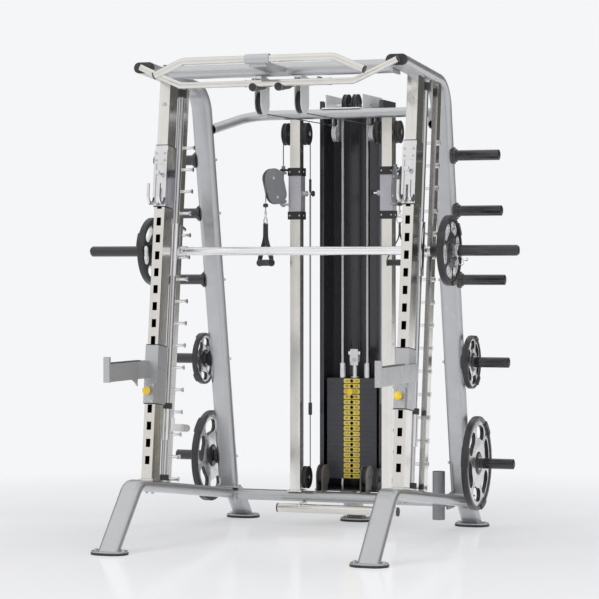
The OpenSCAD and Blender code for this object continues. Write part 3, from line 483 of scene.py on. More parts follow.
def lathe(profile, steps=48, start=0.0, arc=360.0, closed=True):
    """Turns a profile of (radius, height) points around Z. A closed profile makes a ring."""
    bm = bmesh.new()
    whole = arc >= 359.9
    count = steps if whole else steps + 1
    rows = []
    for i in range(count):
        angle = math.radians(start + arc * i / steps)
        rows.append([bm.verts.new((r * math.cos(angle), r * math.sin(angle), h)) for r, h in profile])
    size = len(profile)
    for i in range(steps):
        a, b = rows[i], rows[(i + 1) % count]
        for j in range(size if closed else size - 1):
            k = (j + 1) % size
            bm.faces.new((a[j], b[j], b[k], a[k]))
    if not whole:
        bm.faces.new(rows[0])
        bm.faces.new(list(reversed(rows[-1])))
    return tidy_mesh(bm)


def tidy_mesh(bm, merge=1e-6):
    """A mesh from bm, with doubled points merged and normals outward."""
    bmesh.ops.remove_doubles(bm, verts=bm.verts, dist=merge)
    bmesh.ops.dissolve_degenerate(bm, edges=bm.edges, dist=merge)
    bmesh.ops.recalc_face_normals(bm, faces=bm.faces)
    mesh = bpy.data.meshes.new("shape")
    bm.to_mesh(mesh)
    bm.free()
    return mesh


def rounded_box(size, radius=0.001, segments=2):
    bm = bmesh.new()
    bmesh.ops.create_cube(bm, size=1.0)
    bmesh.ops.scale(bm, vec=Vector(size), verts=bm.verts)
    bmesh.ops.bevel(bm, geom=bm.edges[:], offset=radius, segments=segments, affect="EDGES", profile=0.5)
    return tidy_mesh(bm)


def from_curve(curve):
    holder = bpy.data.objects.new("shape", curve)
    mesh = bpy.data.meshes.new_from_object(holder)
    bpy.data.objects.remove(holder)
    bpy.data.curves.remove(curve)
    bm = bmesh.new()
    bm.from_mesh(mesh)
    bpy.data.meshes.remove(mesh)
    return tidy_mesh(bm)


def spline(curve, points, closed, radii=None):
    line = curve.splines.new("POLY")
    line.points.add(len(points) - 1)
    for i, point in enumerate(points):
        line.points[i].co = (*point, 1)
        if radii:
            line.points[i].radius = radii[i]
    line.use_cyclic_u = closed
    line.use_smooth = True


def tube(points, radius, closed=False, detail=3, radii=None):
    """A round bar along a path, with closed ends."""
    curve = bpy.data.curves.new("tube", "CURVE")
    curve.dimensions = "3D"
    curve.bevel_depth = radius
    curve.bevel_resolution = detail
    curve.use_fill_caps = not closed
    spline(curve, [Vector(p) for p in points], closed, radii)
    return from_curve(curve)


def plate(outlines, thickness, edge=0.0008, detail=2):
    """A flat plate in XY, centred on z = 0, from an outer outline and its holes, with eased edges."""
    curve = bpy.data.curves.new("plate", "CURVE")
    curve.dimensions = "2D"
    curve.fill_mode = "BOTH"
    curve.bevel_depth = edge
    curve.bevel_resolution = detail
    curve.offset = -edge
    curve.extrude = thickness / 2 - edge
    for outline in outlines:
        spline(curve, [(x, y, 0) for x, y in outline], True)
    return from_curve(curve)


def ribbon(points, across, width, thickness):
    """A flat strap along a path; across is its width direction."""
    across = Vector(across).normalized()
    points = [Vector(p) for p in points]
    bm = bmesh.new()
    rows = []
    for i, point in enumerate(points):
        ahead = points[min(i + 1, len(points) - 1)] - points[max(i - 1, 0)]
        out = ahead.cross(across).normalized()
        rim = [(-1, 0.6), (-0.94, 1), (0.94, 1), (1, 0.6), (1, -0.6), (0.94, -1), (-0.94, -1), (-1, -0.6)]
        rows.append([bm.verts.new(point + across * (a * width / 2) + out * (b * thickness / 2))
                     for a, b in rim])
    for a, b in zip(rows, rows[1:]):
        for j in range(len(a)):
            k = (j + 1) % len(a)
            bm.faces.new((a[j], b[j], b[k], a[k]))
    bm.faces.new(rows[0])
    bm.faces.new(list(reversed(rows[-1])))
    return tidy_mesh(bm)


def circle(radius, count=48, x=0.0, y=0.0):
    return [(x + radius * math.cos(math.tau * i / count), y + radius * math.sin(math.tau * i / count))
            for i in range(count)]


def arc(radius, start, end, count=8, x=0.0, y=0.0):
    """Points on an arc, angles in degrees."""
    turns = [math.radians(start + (end - start) * i / count) for i in range(count + 1)]
    return [(x + radius * math.cos(t), y + radius * math.sin(t)) for t in turns]


def pill(width, height, count=10):
    """A stadium outline, round at both ends of its longer side."""
    r = min(width, height) / 2
    reach = (max(width, height) - 2 * r) / 2
    if width >= height:
        return arc(r, -90, 90, count, reach) + arc(r, 90, 270, count, -reach)
    return arc(r, 0, 180, count, 0, reach) + arc(r, 180, 360, count, 0, -reach)


def kidney(radius, width, spread, turn):
    """A curved slot about the origin, with round ends; spread and turn in degrees."""
    r = width / 2
    tip = math.radians(turn + spread)
    tail = math.radians(turn - spread)
    outline = arc(radius + r, turn - spread, turn + spread, 10)
    outline += arc(r, turn + spread, turn + spread + 180, 8,
                   radius * math.cos(tip), radius * math.sin(tip))[1:]
    outline += arc(radius - r, turn + spread, turn - spread, 10)[1:]
    outline += arc(r, turn - spread + 180, turn - spread + 360, 8,
                   radius * math.cos(tail), radius * math.sin(tail))[1:-1]
    return outline


def rounded(width, height, radius, x=0.0, y=0.0):
    """A rectangle outline with round corners."""
    a, b = width / 2 - radius, height / 2 - radius
    corners = ((a, b, 0), (-a, b, 90), (-a, -b, 180), (a, -b, 270))
    return [p for cx, cy, turn in corners for p in arc(radius, turn, turn + 90, 5, x + cx, y + cy)]


def hex_bolt(width, height=None):
    """A hexagon head on a washer, standing on z = 0."""
    height = height or width * 0.42
    r = width / 2 / math.cos(math.pi / 6)
    base = width * 0.11
    washer = lathe([(0, 0), (r * 1.30, 0), (r * 1.30, width * 0.07), (r * 1.22, base), (0, base)])
    top = base + height
    head = lathe([(0, base), (r, base), (r, base + height * 0.8), (r * 0.87, top), (0, top)], 6)
    return [washer, head]


def button_screw(width, height):
    """A domed screw with a hexagon socket, standing on z = 0."""
    r = width / 2
    socket = r * 0.42
    dome = [(r, 0)]
    dome += [(r * math.cos(math.radians(t)), height * math.sin(math.radians(t))) for t in (20, 40, 58)]
    cup = lathe(dome + [(socket, height), (socket, height * 0.45), (0, height * 0.45), (0, 0)], 24)
    return [cup]


class Piece:
    """Collects meshes into one object, each with its own material."""

    def __init__(self):
        self.bm = bmesh.new()
        self.materials = []

    def add(self, meshes, material, place=None):
        """Moves meshes to place and adds them; a mesh or a list of meshes."""
        for mesh in meshes if isinstance(meshes, list) else [meshes]:
            if place is not None:
                mesh.transform(place)
                if place.determinant() < 0:
                    mesh.flip_normals()
            if material not in self.materials:
                self.materials.append(material)
            first = len(self.bm.faces)
            self.bm.from_mesh(mesh)
            self.bm.faces.ensure_lookup_table()
            for i in range(first, len(self.bm.faces)):
                self.bm.faces[i].material_index = self.materials.index(material)
                self.bm.faces[i].smooth = True
            bpy.data.meshes.remove(mesh)
        return self

    def paint(self, material, chosen):
        """Gives material to the faces whose centre and normal pass chosen(centre, normal)."""
        if material not in self.materials:
            self.materials.append(material)
        index = self.materials.index(material)
        for face in self.bm.faces:
            if chosen(face.calc_center_median(), face.normal):
                face.material_index = index
        return self

    def make(self, name, body, slot, place=None, sharp=32):
        """Makes the object. With place, the meshes are local to it and so are its textures."""
        mesh = bpy.data.meshes.new(name)
        self.bm.to_mesh(mesh)
        self.bm.free()
        for material in self.materials:
            mesh.materials.append(material)
        mesh.set_sharp_from_angle(angle=math.radians(sharp))
        piece = bpy.data.objects.new(name, mesh)
        bpy.context.scene.collection.objects.link(piece)
        if place is not None:
            piece.matrix_world = place
        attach(piece, body)
        return piece


# ---------------------------------------------------------------- plates

HORN_Z = {"small": 0.7897, "large": 0.3174}
PLATE_D = {"small": 0.246, "large": 0.436}
PLATE_T = {"small": 0.026, "large": 0.030}
PLATE_BORE = 0.0486
FREE_HORN_Z = (1.731, 1.482, 1.1687)


def horn_back(z):
    """Y of the rear upright's centre line at height z."""
    return 0.2077 + (2.0558 - z) * 0.190357


def grip_plate(diameter, thickness, bore, face_finish, edge_finish):
    """A grip plate about Z: dimpled rim, spoked web with six kidney openings, hub, rubber pads."""
    r = diameter / 2
    t = thickness / 2
    lip = diameter * 0.045
    web_t = thickness * 0.62
    slot_r = diameter * 0.335
    slot_w = diameter * 0.14
    part = Piece()
    rim = [(r - lip, -t + 0.002), (r - lip + 0.002, -t), (r - 0.004, -t), (r - 0.001, -t + 0.0025),
           (r, -t + 0.006), (r, t - 0.006), (r - 0.001, t - 0.0025), (r - 0.004, t),
           (r - lip + 0.002, t), (r - lip, t - 0.002)]
    part.add(lathe(rim, 96), IRON)
    holes = [kidney(slot_r, slot_w, 12, turn) for turn in range(0, 360, 60)]
    web = plate([circle(r - lip + 0.002, 96), *holes, circle(bore / 2 + 0.001, 48)], web_t, 0.002, 3)
    part.add(web, edge_finish)
    part.paint(face_finish,
               lambda centre, normal: abs(normal.z) > 0.98 and centre.xy.length < r - lip - 0.002)
    hub_r = bore / 2 + diameter * 0.055
    hub = [(bore / 2, -t), (hub_r - 0.002, -t), (hub_r, -t + 0.002),
           (hub_r + 0.006, -web_t / 2 - 0.001), (hub_r + 0.006, web_t / 2 + 0.001),
           (hub_r, t - 0.002), (hub_r - 0.002, t), (bore / 2, t)]
    part.add(lathe(hub, 64), IRON)
    for side in (-1, 1):
        ring = [(bore / 2, 0), (bore / 2 + 0.0045, 0), (bore / 2 + 0.0045, 0.0012), (bore / 2, 0.0012)]
        sunk = 0.0008 if side > 0 else 0.0004
        part.add(lathe(ring, 48), STEEL, shift(0, 0, side * t - sunk))
        for turn in range(30, 390, 60):
            spot = spin(turn)
            rib = rounded_box((slot_w * 1.15, diameter * 0.020, 0.003), 0.0012)
            part.add(rib, face_finish, spot @ shift(slot_r, 0, side * (web_t / 2 + 0.0006)))
    for turn in (30, 150, 270):
        pad = [(r - lip * 1.1, -t - 0.0005), (r, -t - 0.0005), (r, t + 0.0035), (r - lip * 1.1, t + 0.0035)]
        part.add(lathe(pad, 8, turn - 12, 24), RUBBER)
    return part


def plate_place(side, x, y, z, turn=0.0):
    """Local Z points outboard along X."""
    out = X * side
    return facing((side * x, y, z), out) @ spin(turn)


def weight_plates():
    low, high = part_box("storage_plates")
    plate_x = high.x - PLATE_T["large"] / 2
    for name, side in SIDES.items():
        for size, z in HORN_Z.items():
            turn = 18 if size == "large" else 40
            part = grip_plate(PLATE_D[size], PLATE_T[size], PLATE_BORE, STEEL, IRON)
            piece = part.make(f"grip_plate_{size}_{name}", "frame", "plate_iron",
                              plate_place(side, plate_x, horn_back(z), z, turn))
            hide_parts("storage_plates")
    low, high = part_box("bar_plates")
    diameter = high.z - low.z
    bar_x = high.x - PLATE_T["large"] / 2
    for name, side in SIDES.items():
        part = grip_plate(diameter, PLATE_T["large"], PLATE_BORE, IRON, STEEL)
        piece = part.make(f"bar_plate_{name}", "press_bar", "plate_iron",
                          plate_place(side, bar_x, BAR_AXIS.y, BAR_AXIS.z, 10 * side))
        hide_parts("bar_plates")


# ---------------------------------------------------------------- weight stack

PLATE_PITCH = 0.0254
STACK_Y = 0.748
STACK_FRONT = 0.697
LABEL_W = 0.081


def stack_label(number, z):
    """A yellow strip with a pin hole and the plate's number on both sides of it."""
    outline = rounded(LABEL_W, 0.0215, 0.006)
    strip = plate([outline, circle(0.0066, 20)], 0.0016, 0.0003, 1)
    ring = lathe([(0.0064, 0), (0.0082, 0), (0.0082, 0.0014), (0.0064, 0.0014)], 24)
    place = facing((0, STACK_FRONT - 0.0004, z), -Y)
    parts = [(strip, LABEL, place), (ring, DARK_PLASTIC, place)]
    for side in (-1, 1):
        text = bpy.data.curves.new("number", "FONT")
        text.body = str(number)
        text.size = 0.0145
        text.align_x = "CENTER"
        text.align_y = "CENTER"
        text.extrude = 0.0003
        parts.append((from_curve(text), DARK_PLASTIC, place @ shift(side * 0.0245, 0, 0.001)))
    return parts


def stack_labels():
    low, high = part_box("stack_plates")
    rest_count = round((high.z - low.z) / PLATE_PITCH)
    lifted_low, lifted_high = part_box("lifted_plates")
    lift_count = round((lifted_high.z - lifted_low.z) / PLATE_PITCH)
    total = rest_count + lift_count
    groups = (("stack_labels", "frame", low.z, rest_count, total),
              ("lifted_labels", "lifted_stack", lifted_low.z, lift_count, lift_count))
    for name, body, bottom, count, first in groups:
        part = Piece()
        for i in range(count):
            z = bottom + PLATE_PITCH * (i + 0.5) - 0.0002
            for mesh, material, place in stack_label(10 * (first - i), z):
                part.add(mesh, material, place)
        part.make(name, body, "yellow_knob")


def stack_cables():
    """The two lifting cables, as one fixed mesh; the real ones shorten as the stack rises."""
    low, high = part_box("stack_cable")
    reach = (high.x - low.x) / 2 - 0.0025
    part = Piece()
    for side in (-1, 1):
        line = [(side * reach, (low.y + high.y) / 2, low.z + (high.z - low.z) * i / 24) for i in range(25)]
        part.add(tube(line, 0.0025), CABLE)
        end = lathe([(0, 0), (0.005, 0), (0.0062, 0.004), (0.0062, 0.045), (0.004, 0.05), (0, 0.05)], 20)
        part.add(end, DARK_PLASTIC, shift(side * reach, (low.y + high.y) / 2, low.z))
    piece = part.make("lifting_cables", "frame", "cable")
    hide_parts("stack_cable")
    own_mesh(piece)


def stack_yoke():
    """Pale front plate of the yoke that joins the lifting cables to the selector stem."""
    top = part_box("selector_stem")[1]
    part = Piece()
    place = facing((0, STACK_Y - 0.0155, top.z - 0.028), -Y)
    part.add(plate([rounded(0.040, 0.078, 0.003)], 0.003, 0.0007), PALE, place)
    bolt = place @ shift(0, -0.012, 0.0012)
    part.add(hex_bolt(0.013), ZINC, bolt)
    for turn in (0, 1):
        clip = [(0.0085, -0.010), (0.0105, -0.010), (0.0105, 0.010), (0.0085, 0.010)]
        spot = shift((turn * 2 - 1) * 0.024, STACK_Y, top.z - 0.008)
        part.add(lathe(clip, 24), DARK_PLASTIC, spot)
    part.make("stack_yoke", "lifted_stack", "grey_cover")


def selector_knob():
    """The selector pin with its ribbed knob."""
    low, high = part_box("selector_pin")
    part = Piece()
    knob = [(0, 0), (0.010, 0), (0.0118, 0.0015), (0.0125, 0.004), (0.0105, 0.009), (0.0105, 0.013),
            (0.0150, 0.0145), (0.0158, 0.016), (0.0158, 0.018), (0.0148, 0.0195), (0, 0.0195)]
    place = facing((0, low.y + 0.0192, (low.z + high.z) / 2), -Y)
    part.add(lathe(knob, 32), YELLOW, place)
    for i in range(8):
        rib = rounded_box((0.0022, 0.003, 0.009), 0.0008)
        turn = Matrix.Rotation(math.tau * i / 8, 4, "Z")
        part.add(rib, YELLOW, place @ turn @ shift(0.0118, 0, 0.0085))
    pin_length = high.y - low.y - 0.019
    pin = [(0, 0), (0.005, 0), (0.005, pin_length - 0.003), (0.003, pin_length), (0, pin_length)]
    part.add(lathe(pin, 24), CHROME, facing((0, high.y - pin_length, (low.z + high.z) / 2), Y))
    piece = part.make("selector_knob", "stack_selector", "yellow_knob")
    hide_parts("selector_pin")


# ---------------------------------------------------------------- cable station

COLUMN_X = 0.229
COLUMN_Y = 0.555
WHEEL_OUT = 0.0465
DROP_OUT = 0.093


def head_place(name):
    """Local frame of a swivel head: x out from the swivel axis to the hanging cable, z up."""
    pivot = Vector(JOINTS[f"head_swivel_{name}"]["pos_m"])
    hang = Vector(JOINTS[f"handle_swing_{name}"]["pos_m"])
    out = hang - pivot
    out.z = 0
    out.normalize()
    pivot.z = 0
    return axes(pivot, out, Z.cross(out), Z)


HEAD_Z = 1.611
HEAD_LEAN = -13


def head_covers():
    """Crowned oval covers with two screws on both sides of each swivel head."""
    for name in SIDES:
        place = head_place(name)
        part = Piece()
        for side in (-1, 1):
            spot = place @ axes(Vector((WHEEL_OUT, side * 0.0165, HEAD_Z)), X, Z, -Y)
            spot = spot @ spin(HEAD_LEAN)
            layers = ((0.0955, 0.1715, 0.0034, 0.0014, 0.0008, GREY),
                      (0.077, 0.153, 0.0030, 0.0013, 0.0026, GREY))
            for width, height, thick, edge, lift, material in layers:
                shape = plate([pill(width, height, 14)], thick, edge, 3)
                part.add(shape, material, spot @ shift(0, 0, -side * lift))
            for height in (-0.052, 0.040):
                out = shift(0.004, height, -side * 0.0040)
                flip = Matrix.Rotation(math.pi if side > 0 else 0, 4, "X")
                part.add(button_screw(0.014, 0.0038), ZINC, spot @ out @ flip)
        part.make(f"head_cover_{name}", f"head_{name}", "grey_cover")


RING_Z = 1.446
FORK_Z = 1.368
GRIP_Z = 1.248
STRAP_REACH = 0.0575
HANDLE_TWIST = 86


def bezier(points, steps=12):
    """Points on a cubic curve through four control points."""
    a, b, c, d = (Vector(p) for p in points)
    out = []
    for i in range(steps + 1):
        t = i / steps
        u = 1 - t
        out.append(a * u ** 3 + b * 3 * u * u * t + c * 3 * u * t * t + d * t ** 3)
    return out


def handles():
    """Cable end, stop, ring, webbing and D-handle grip below each head."""
    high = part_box("handle_left")[1]
    for name, side_x in SIDES.items():
        turn = spin(side_x * HANDLE_TWIST)
        place = head_place(name) @ shift(DROP_OUT, 0, 0) @ turn
        part = Piece()
        stop = [(0, 0), (0.006, 0), (0.0115, 0.003), (0.0125, 0.007), (0.0125, 0.012), (0.0105, 0.017),
                (0.006, 0.0195), (0, 0.0195)]
        part.add(lathe(stop, 32), RUBBER, shift(0, 0, high.z - 0.0198))
        part.add(tube([(0, 0, high.z - 0.018), (0, 0, RING_Z + 0.034)], 0.0025), CLEAR_CABLE)
        ferrule = [(0, 0), (0.0042, 0), (0.0052, 0.002), (0.0052, 0.018), (0.0042, 0.020), (0, 0.020)]
        part.add(lathe(ferrule, 20), CHROME, shift(0, 0, RING_Z + 0.026))
        loop = [(x, 0, z) for x, z in arc(0.0075, -90, 270, 20, 0, RING_Z + 0.0185)]
        part.add(tube(loop, 0.0018, True), CHROME)
        ring = [(x, 0, z) for x, z in circle(0.0150, 36, 0, RING_Z)]
        part.add(tube(ring, 0.0033, True, 4), CHROME)
        for side in (-1, 1):
            line = [(side * 0.0004, 0, RING_Z - 0.0105), (side * 0.0018, 0, RING_Z - 0.018)]
            line += bezier(((side * 0.0020, 0, RING_Z - 0.030), (side * 0.0020, 0, FORK_Z + 0.015),
                            (side * 0.0030, 0, FORK_Z + 0.002), (side * 0.0075, 0, FORK_Z - 0.010)), 10)
            line += [(side * (STRAP_REACH - 0.0012), 0, GRIP_Z + 0.020),
                     (side * STRAP_REACH, 0, GRIP_Z + 0.016)]
            part.add(ribbon(line, Y, 0.024, 0.0034), WEBBING)
            eye = [(side * STRAP_REACH, y, z) for y, z in arc(0.0160, 0, 360, 24, 0, GRIP_Z)]
            part.add(ribbon_loop(eye), WEBBING)
            lean = math.atan2(STRAP_REACH - 0.0075, FORK_Z - 0.010 - GRIP_Z - 0.020)
            tab = rounded_box((0.0050, 0.0235, 0.026), 0.001)
            spot = shift(side * (STRAP_REACH - 0.009), 0, GRIP_Z + 0.037)
            part.add(tab, WEBBING, spot @ Matrix.Rotation(-side * lean, 4, "Y"))
            cap = [(0, 0), (0.0125, 0), (0.0140, 0.0012), (0.0140, 0.0035), (0.0125, 0.005), (0, 0.005)]
            out = facing((side * (STRAP_REACH - 0.0035), 0, GRIP_Z), X * side)
            part.add(lathe(cap, 32), DARK_PLASTIC, out)
        for height in (RING_Z - 0.034, FORK_Z + 0.006):
            stitch = rounded_box((0.0085, 0.0238, 0.010), 0.0012)
            part.add(stitch, WEBBING, shift(0, 0, height))
        grip = [(0, -0.055), (0.0125, -0.055)]
        for i in range(15):
            z = -0.053 + i * 0.0074
            grip += [(0.0146, z), (0.0150, z + 0.0018), (0.0146, z + 0.0040), (0.0138, z + 0.0056)]
        grip += [(0.0125, 0.056), (0, 0.056)]
        part.add(lathe([(r, z * 0.97) for r, z in grip], 32), GRIP, facing((0, 0, GRIP_Z), X))
        piece = part.make(f"handle_strap_{name}", f"cable_handle_{name}", "handle_black", place)
        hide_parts(f"handle_{name}")


def ribbon_loop(points):
    """A strap eye around the grip's end, 5 mm wide along X."""
    bm = bmesh.new()
    centre = sum((Vector(p) for p in points), Vector()) / len(points)
    rows = []
    for point in points[:-1]:
        out = (Vector(point) - centre).normalized()
        rows.append([bm.verts.new(Vector(point) + X * a + out * b)
                     for a, b in ((-0.0026, -0.0014), (0.0026, -0.0014),
                                  (0.0026, 0.0014), (-0.0026, 0.0014))])
    for i, row in enumerate(rows):
        after = rows[(i + 1) % len(rows)]
        for j in range(4):
            k = (j + 1) % 4
            bm.faces.new((row[j], after[j], after[k], row[k]))
    return tidy_mesh(bm)


def trolley_details():
    """Screws on the trolley collars."""
    for name, side in SIDES.items():
        low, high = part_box(f"trolley_{name}")
        part = Piece()
        x, y = side * COLUMN_X, COLUMN_Y
        for z in (low.z + 0.019, high.z - 0.019):
            for dx in (-0.024, 0.024):
                part.add(button_screw(0.009, 0.003), ZINC, facing((x + dx, y - 0.034, z), -Y))
            for way in (-1, 1):
                part.add(button_screw(0.009, 0.003), ZINC, facing((x + way * 0.034, y, z), X * way))
        part.make(f"trolley_screws_{name}", f"cable_trolley_{name}", "black_metal")


def trolley_knobs():
    """Pull knobs of the trolley pins, with their shafts."""
    for name, side in SIDES.items():
        node = f"trolley_pin_{name}"
        low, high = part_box(node)
        tip = high.x if side > 0 else low.x
        length = high.x - low.x
        place = facing((tip, (low.y + high.y) / 2, (low.z + high.z) / 2), X * -side)
        part = Piece()
        shaft = [(0, 0), (0.0035, 0), (0.005, 0.002), (0.005, length - 0.012), (0, length - 0.012)]
        part.add(lathe(shaft, 24), CHROME, place)
        knob = [(0, 0), (0.0075, 0), (0.0085, 0.003), (0.0135, 0.006), (0.014, 0.009), (0.014, 0.013),
                (0.0125, 0.0155), (0, 0.016)]
        part.add(lathe(knob, 32), DARK_PLASTIC, place @ shift(0, 0, length - 0.016))
        piece = part.make(f"trolley_knob_{name}", f"trolley_latch_{name}", "pulley_nylon")
        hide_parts(node)


# ---------------------------------------------------------------- rack attachments

ARM_HOLE = 4
ARM_SLEEVE = 0.258
HOOK_HOLE = 16
HOOK_SLEEVE = 0.274


def arm_knobs():
    """Yellow pull knobs of the spotter arms, with their pins and bushes."""
    for name, side in SIDES.items():
        node = f"arm_pin_{name}"
        spot = on_mast(side, 0, 0, ARM_HOLE * HOLE_PITCH)
        out = spot @ facing((0, -0.002, 0), -Y)
        part = Piece()
        pin = [(0, 0), (0.005, 0), (0.007, 0.003), (0.007, 0.042), (0, 0.042)]
        part.add(lathe(pin, 24), CHROME, out)
        knob = [(0, 0), (0.015, 0), (0.0172, 0.0012), (0.018, 0.004), (0.018, 0.0085), (0.0168, 0.0125),
                (0.0135, 0.0150), (0.0135, 0.0205), (0.012, 0.0218), (0, 0.0222)]
        part.add(lathe(knob, 12), YELLOW, out @ shift(0, 0, 0.0402))
        bush = [(0.0072, 0), (0.0105, 0), (0.0105, 0.010), (0.0095, 0.011), (0.0072, 0.011)]
        part.add(lathe(bush, 24), CHROME, out @ shift(0, 0, 0.0285))
        piece = part.make(f"arm_knob_{name}", f"latch_{name}", "yellow_knob", sharp=40)
        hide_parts(node)


def arm_details():
    """Rubber strip, gusset, screws and sleeve liner of each spotter arm."""
    beam_x = HALF_FRAME + 0.0275
    beam_top = 0.811
    beam_front = -0.770
    beam_back = -0.445
    for name, side in SIDES.items():
        part = Piece()
        strip_length = beam_back - beam_front - 0.004
        middle = (beam_front + beam_back) / 2
        strip = rounded_box((0.026, strip_length, 0.006), 0.0025, 3)
        part.add(strip, RUBBER, shift(side * beam_x, middle, beam_top + 0.002))
        gusset = [(-0.405, 0.733), (-0.470, 0.733), (-0.430, 0.716), (-0.405, 0.700)]
        web = plate([gusset], 0.006, 0.001)
        part.add(web, PAINT, axes(Vector((side * beam_x, -0.055, 0)), Y, Z, X))
        ends = facing((side * beam_x, beam_front - 0.0140, beam_top - 0.030), -Y)
        for dz in (-0.03, 0.03):
            part.add(button_screw(0.010, 0.003), ZINC, ends @ shift(0, dz, 0))
        part.make(f"arm_trim_{name}", f"arm_{name}", "rubber")
        liner = Piece()
        sleeve_z = ARM_HOLE * HOLE_PITCH - 0.052
        for z in (sleeve_z - 0.0015, sleeve_z + ARM_SLEEVE + 0.0015):
            ring = plate([rounded(0.0615, 0.1015, 0.004), rounded(0.0512, 0.0912, 0.002)], 0.005, 0.0008)
            liner.add(ring, DARK_PLASTIC, on_mast(side, 0, UPRIGHT_D / 2, z))
        for z in (sleeve_z + 0.010, sleeve_z + 0.078):
            for dx in (-0.016, 0.016):
                face = on_mast(side, dx, -0.0222, z) @ FORWARD
                liner.add(button_screw(0.010, 0.0035), ZINC, face)
        liner.make(f"arm_liner_{name}", f"arm_{name}", "black_metal")


def hook_details():
    """Liners, screws, pull pin and saddle pads of each rack hook."""
    sleeve_z = HOOK_HOLE * HOLE_PITCH - 0.082
    for name, side in SIDES.items():
        part = Piece()
        for z in (sleeve_z - 0.0015, sleeve_z + HOOK_SLEEVE + 0.0015):
            ring = plate([rounded(0.0595, 0.0995, 0.004), rounded(0.0512, 0.0912, 0.002)], 0.005, 0.0008)
            part.add(ring, DARK_PLASTIC, on_mast(side, 0, UPRIGHT_D / 2, z))
        saddle = sleeve_z + 0.040
        for dx in (-0.020, 0.020):
            for dz in (0.165, 0.197):
                face = on_mast(side, dx, -0.0122, saddle + dz) @ FORWARD
                part.add(button_screw(0.012, 0.0045), ZINC, face)
        face = on_mast(side, 0, -0.010, saddle + 0.105) @ FORWARD
        pin = [(0, 0), (0.0065, 0), (0.0065, 0.022), (0.0105, 0.024), (0.0125, 0.028), (0.0125, 0.036),
               (0.0105, 0.040), (0, 0.0405)]
        part.add(lathe(pin, 28), CHROME, face)
        for dx in (-0.026, 0.026):
            place = on_mast(side, dx, -0.038, saddle)
            pad = [(0.0285, -0.0045), (0.0302, -0.0045), (0.0302, 0.0045), (0.0285, 0.0045)]
            turned = place @ axes(Vector((0, 0, 0)), Y, -Z, -X)
            part.add(lathe(pad, 20, 5, 170), DARK_PLASTIC, turned)
        part.make(f"hook_trim_{name}", f"hook_{name}", "black_metal")


# ---------------------------------------------------------------- frame details


def weld_bead(path, radius=0.0028):
    """A rippled weld bead along a path."""
    points = [Vector(p) for p in path]
    line, sizes = [], []
    for a, b in zip(points, points[1:]):
        steps = max(2, int((b - a).length / 0.003))
        for i in range(steps):
            line.append(a.lerp(b, i / steps))
            sizes.append(1.0 + 0.16 * math.sin(i * math.pi * 0.66))
    line.append(points[-1])
    sizes.append(1.0)
    return tube(line, radius, False, 2, sizes)


def welds():
    """Beads where the front uprights meet their foot plates."""
    part = Piece()
    foot = -0.0905 + 0.0065
    w, d = UPRIGHT_W / 2, UPRIGHT_D
    corners = [(-w, 0), (w, 0), (w, d), (-w, d), (-w, 0)]
    for side in SIDES.values():
        path = [mast(side * HALF_FRAME + x, y, foot) for x, y in corners]
        part.add(weld_bead(path), PAINT)
    part.make("weld_beads", "frame", "frame_paint")


def foot_bolts():
    """Anchor bolts through the five foot plates."""
    part = Piece()
    top = 0.016
    for joint_x, y in ((HALF_FRAME, -0.812), (HALF_FRAME, 0.756), (-HALF_FRAME, -0.812), (-HALF_FRAME, 0.756),
                       (0.0, 0.778)):
        for dx in (-0.063, 0.063):
            part.add(hex_bolt(0.014), ZINC, shift(joint_x + dx, y, top))
    part.make("foot_bolts", "frame", "chrome")


def grip_sleeves():
    """Ribbed rubber sleeves on the close-grip handles."""
    part = Piece()
    start = Vector((0.059, -0.346, 2.0207))
    end = Vector((0.059, -0.474, 2.0024))
    length = (end - start).length
    profile = [(0.013, -0.002), (0.0185, -0.002), (0.0195, 0.000)]
    count = 16
    for i in range(count):
        z = 0.003 + i * (length - 0.010) / count
        profile += [(0.0193, z), (0.0188, z + 0.0035)]
    profile += [(0.0193, length - 0.004), (0.018, length), (0.012, length + 0.003),
                (0, length + 0.004), (0, -0.002)]
    for side in (-1, 1):
        a = Vector((side * start.x, start.y, start.z))
        b = Vector((side * end.x, end.y, end.z))
        part.add(lathe(profile, 32), GRIP, facing(a, b - a))
    part.make("grip_sleeves", "frame", "rubber")


def horn_caps():
    """Domed end plugs and root collars of the storage horns."""
    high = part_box("storage_horns")[1]
    part = Piece()
    dome = [(0, 0), (0.0225, 0), (0.0225, 0.0015), (0.019, 0.0035), (0.010, 0.005), (0, 0.0054)]
    for side in SIDES.values():
        for z in (*FREE_HORN_Z, *HORN_Z.values()):
            place = facing((side * high.x, horn_back(z), z), X * side)
            part.add(lathe(dome, 32), DARK_PLASTIC, place @ shift(0, 0, -0.0005))
            collar = [(0.024, 0), (0.0262, 0.0006), (0.0262, 0.003), (0.024, 0.0036)]
            root = facing((side * (HALF_FRAME + 0.062), horn_back(z), z), X * side)
            part.add(lathe(collar, 32), BLACK, root)
    part.make("horn_caps", "frame", "black_metal")


def spring_clip():
    """Chrome collar clip on the right sleeve, outside its plate."""
    part = Piece()
    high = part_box("bar_plates")[1]
    place = facing((high.x + 0.012, BAR_AXIS.y, BAR_AXIS.z), X)
    band = [(0.0243, -0.0065), (0.0268, -0.0065), (0.0268, 0.0065), (0.0243, 0.0065)]
    part.add(lathe(band, 48, 0, 360), CHROME, place)
    coil = []
    for i in range(61):
        angle = math.tau * i / 24
        coil.append((0.0262 * math.cos(angle), 0.0262 * math.sin(angle), 0.004 + 0.0052 * i / 24))
    part.add(tube(coil, 0.0024, False, 3), CHROME, place)
    for turn, lift in ((-70, 0.004), (-40, 0.015)):
        spoke = spin(turn)
        line = [(0.026, 0, lift), (0.052, 0, lift + 0.003), (0.066, 0, lift + 0.008), (0.070, 0, lift + 0.02),
                (0.064, 0, lift + 0.028), (0.050, 0, lift + 0.026)]
        part.add(tube(line, 0.0024, False, 3), CHROME, place @ spoke)
    part.make("spring_clip", "press_bar", "chrome")


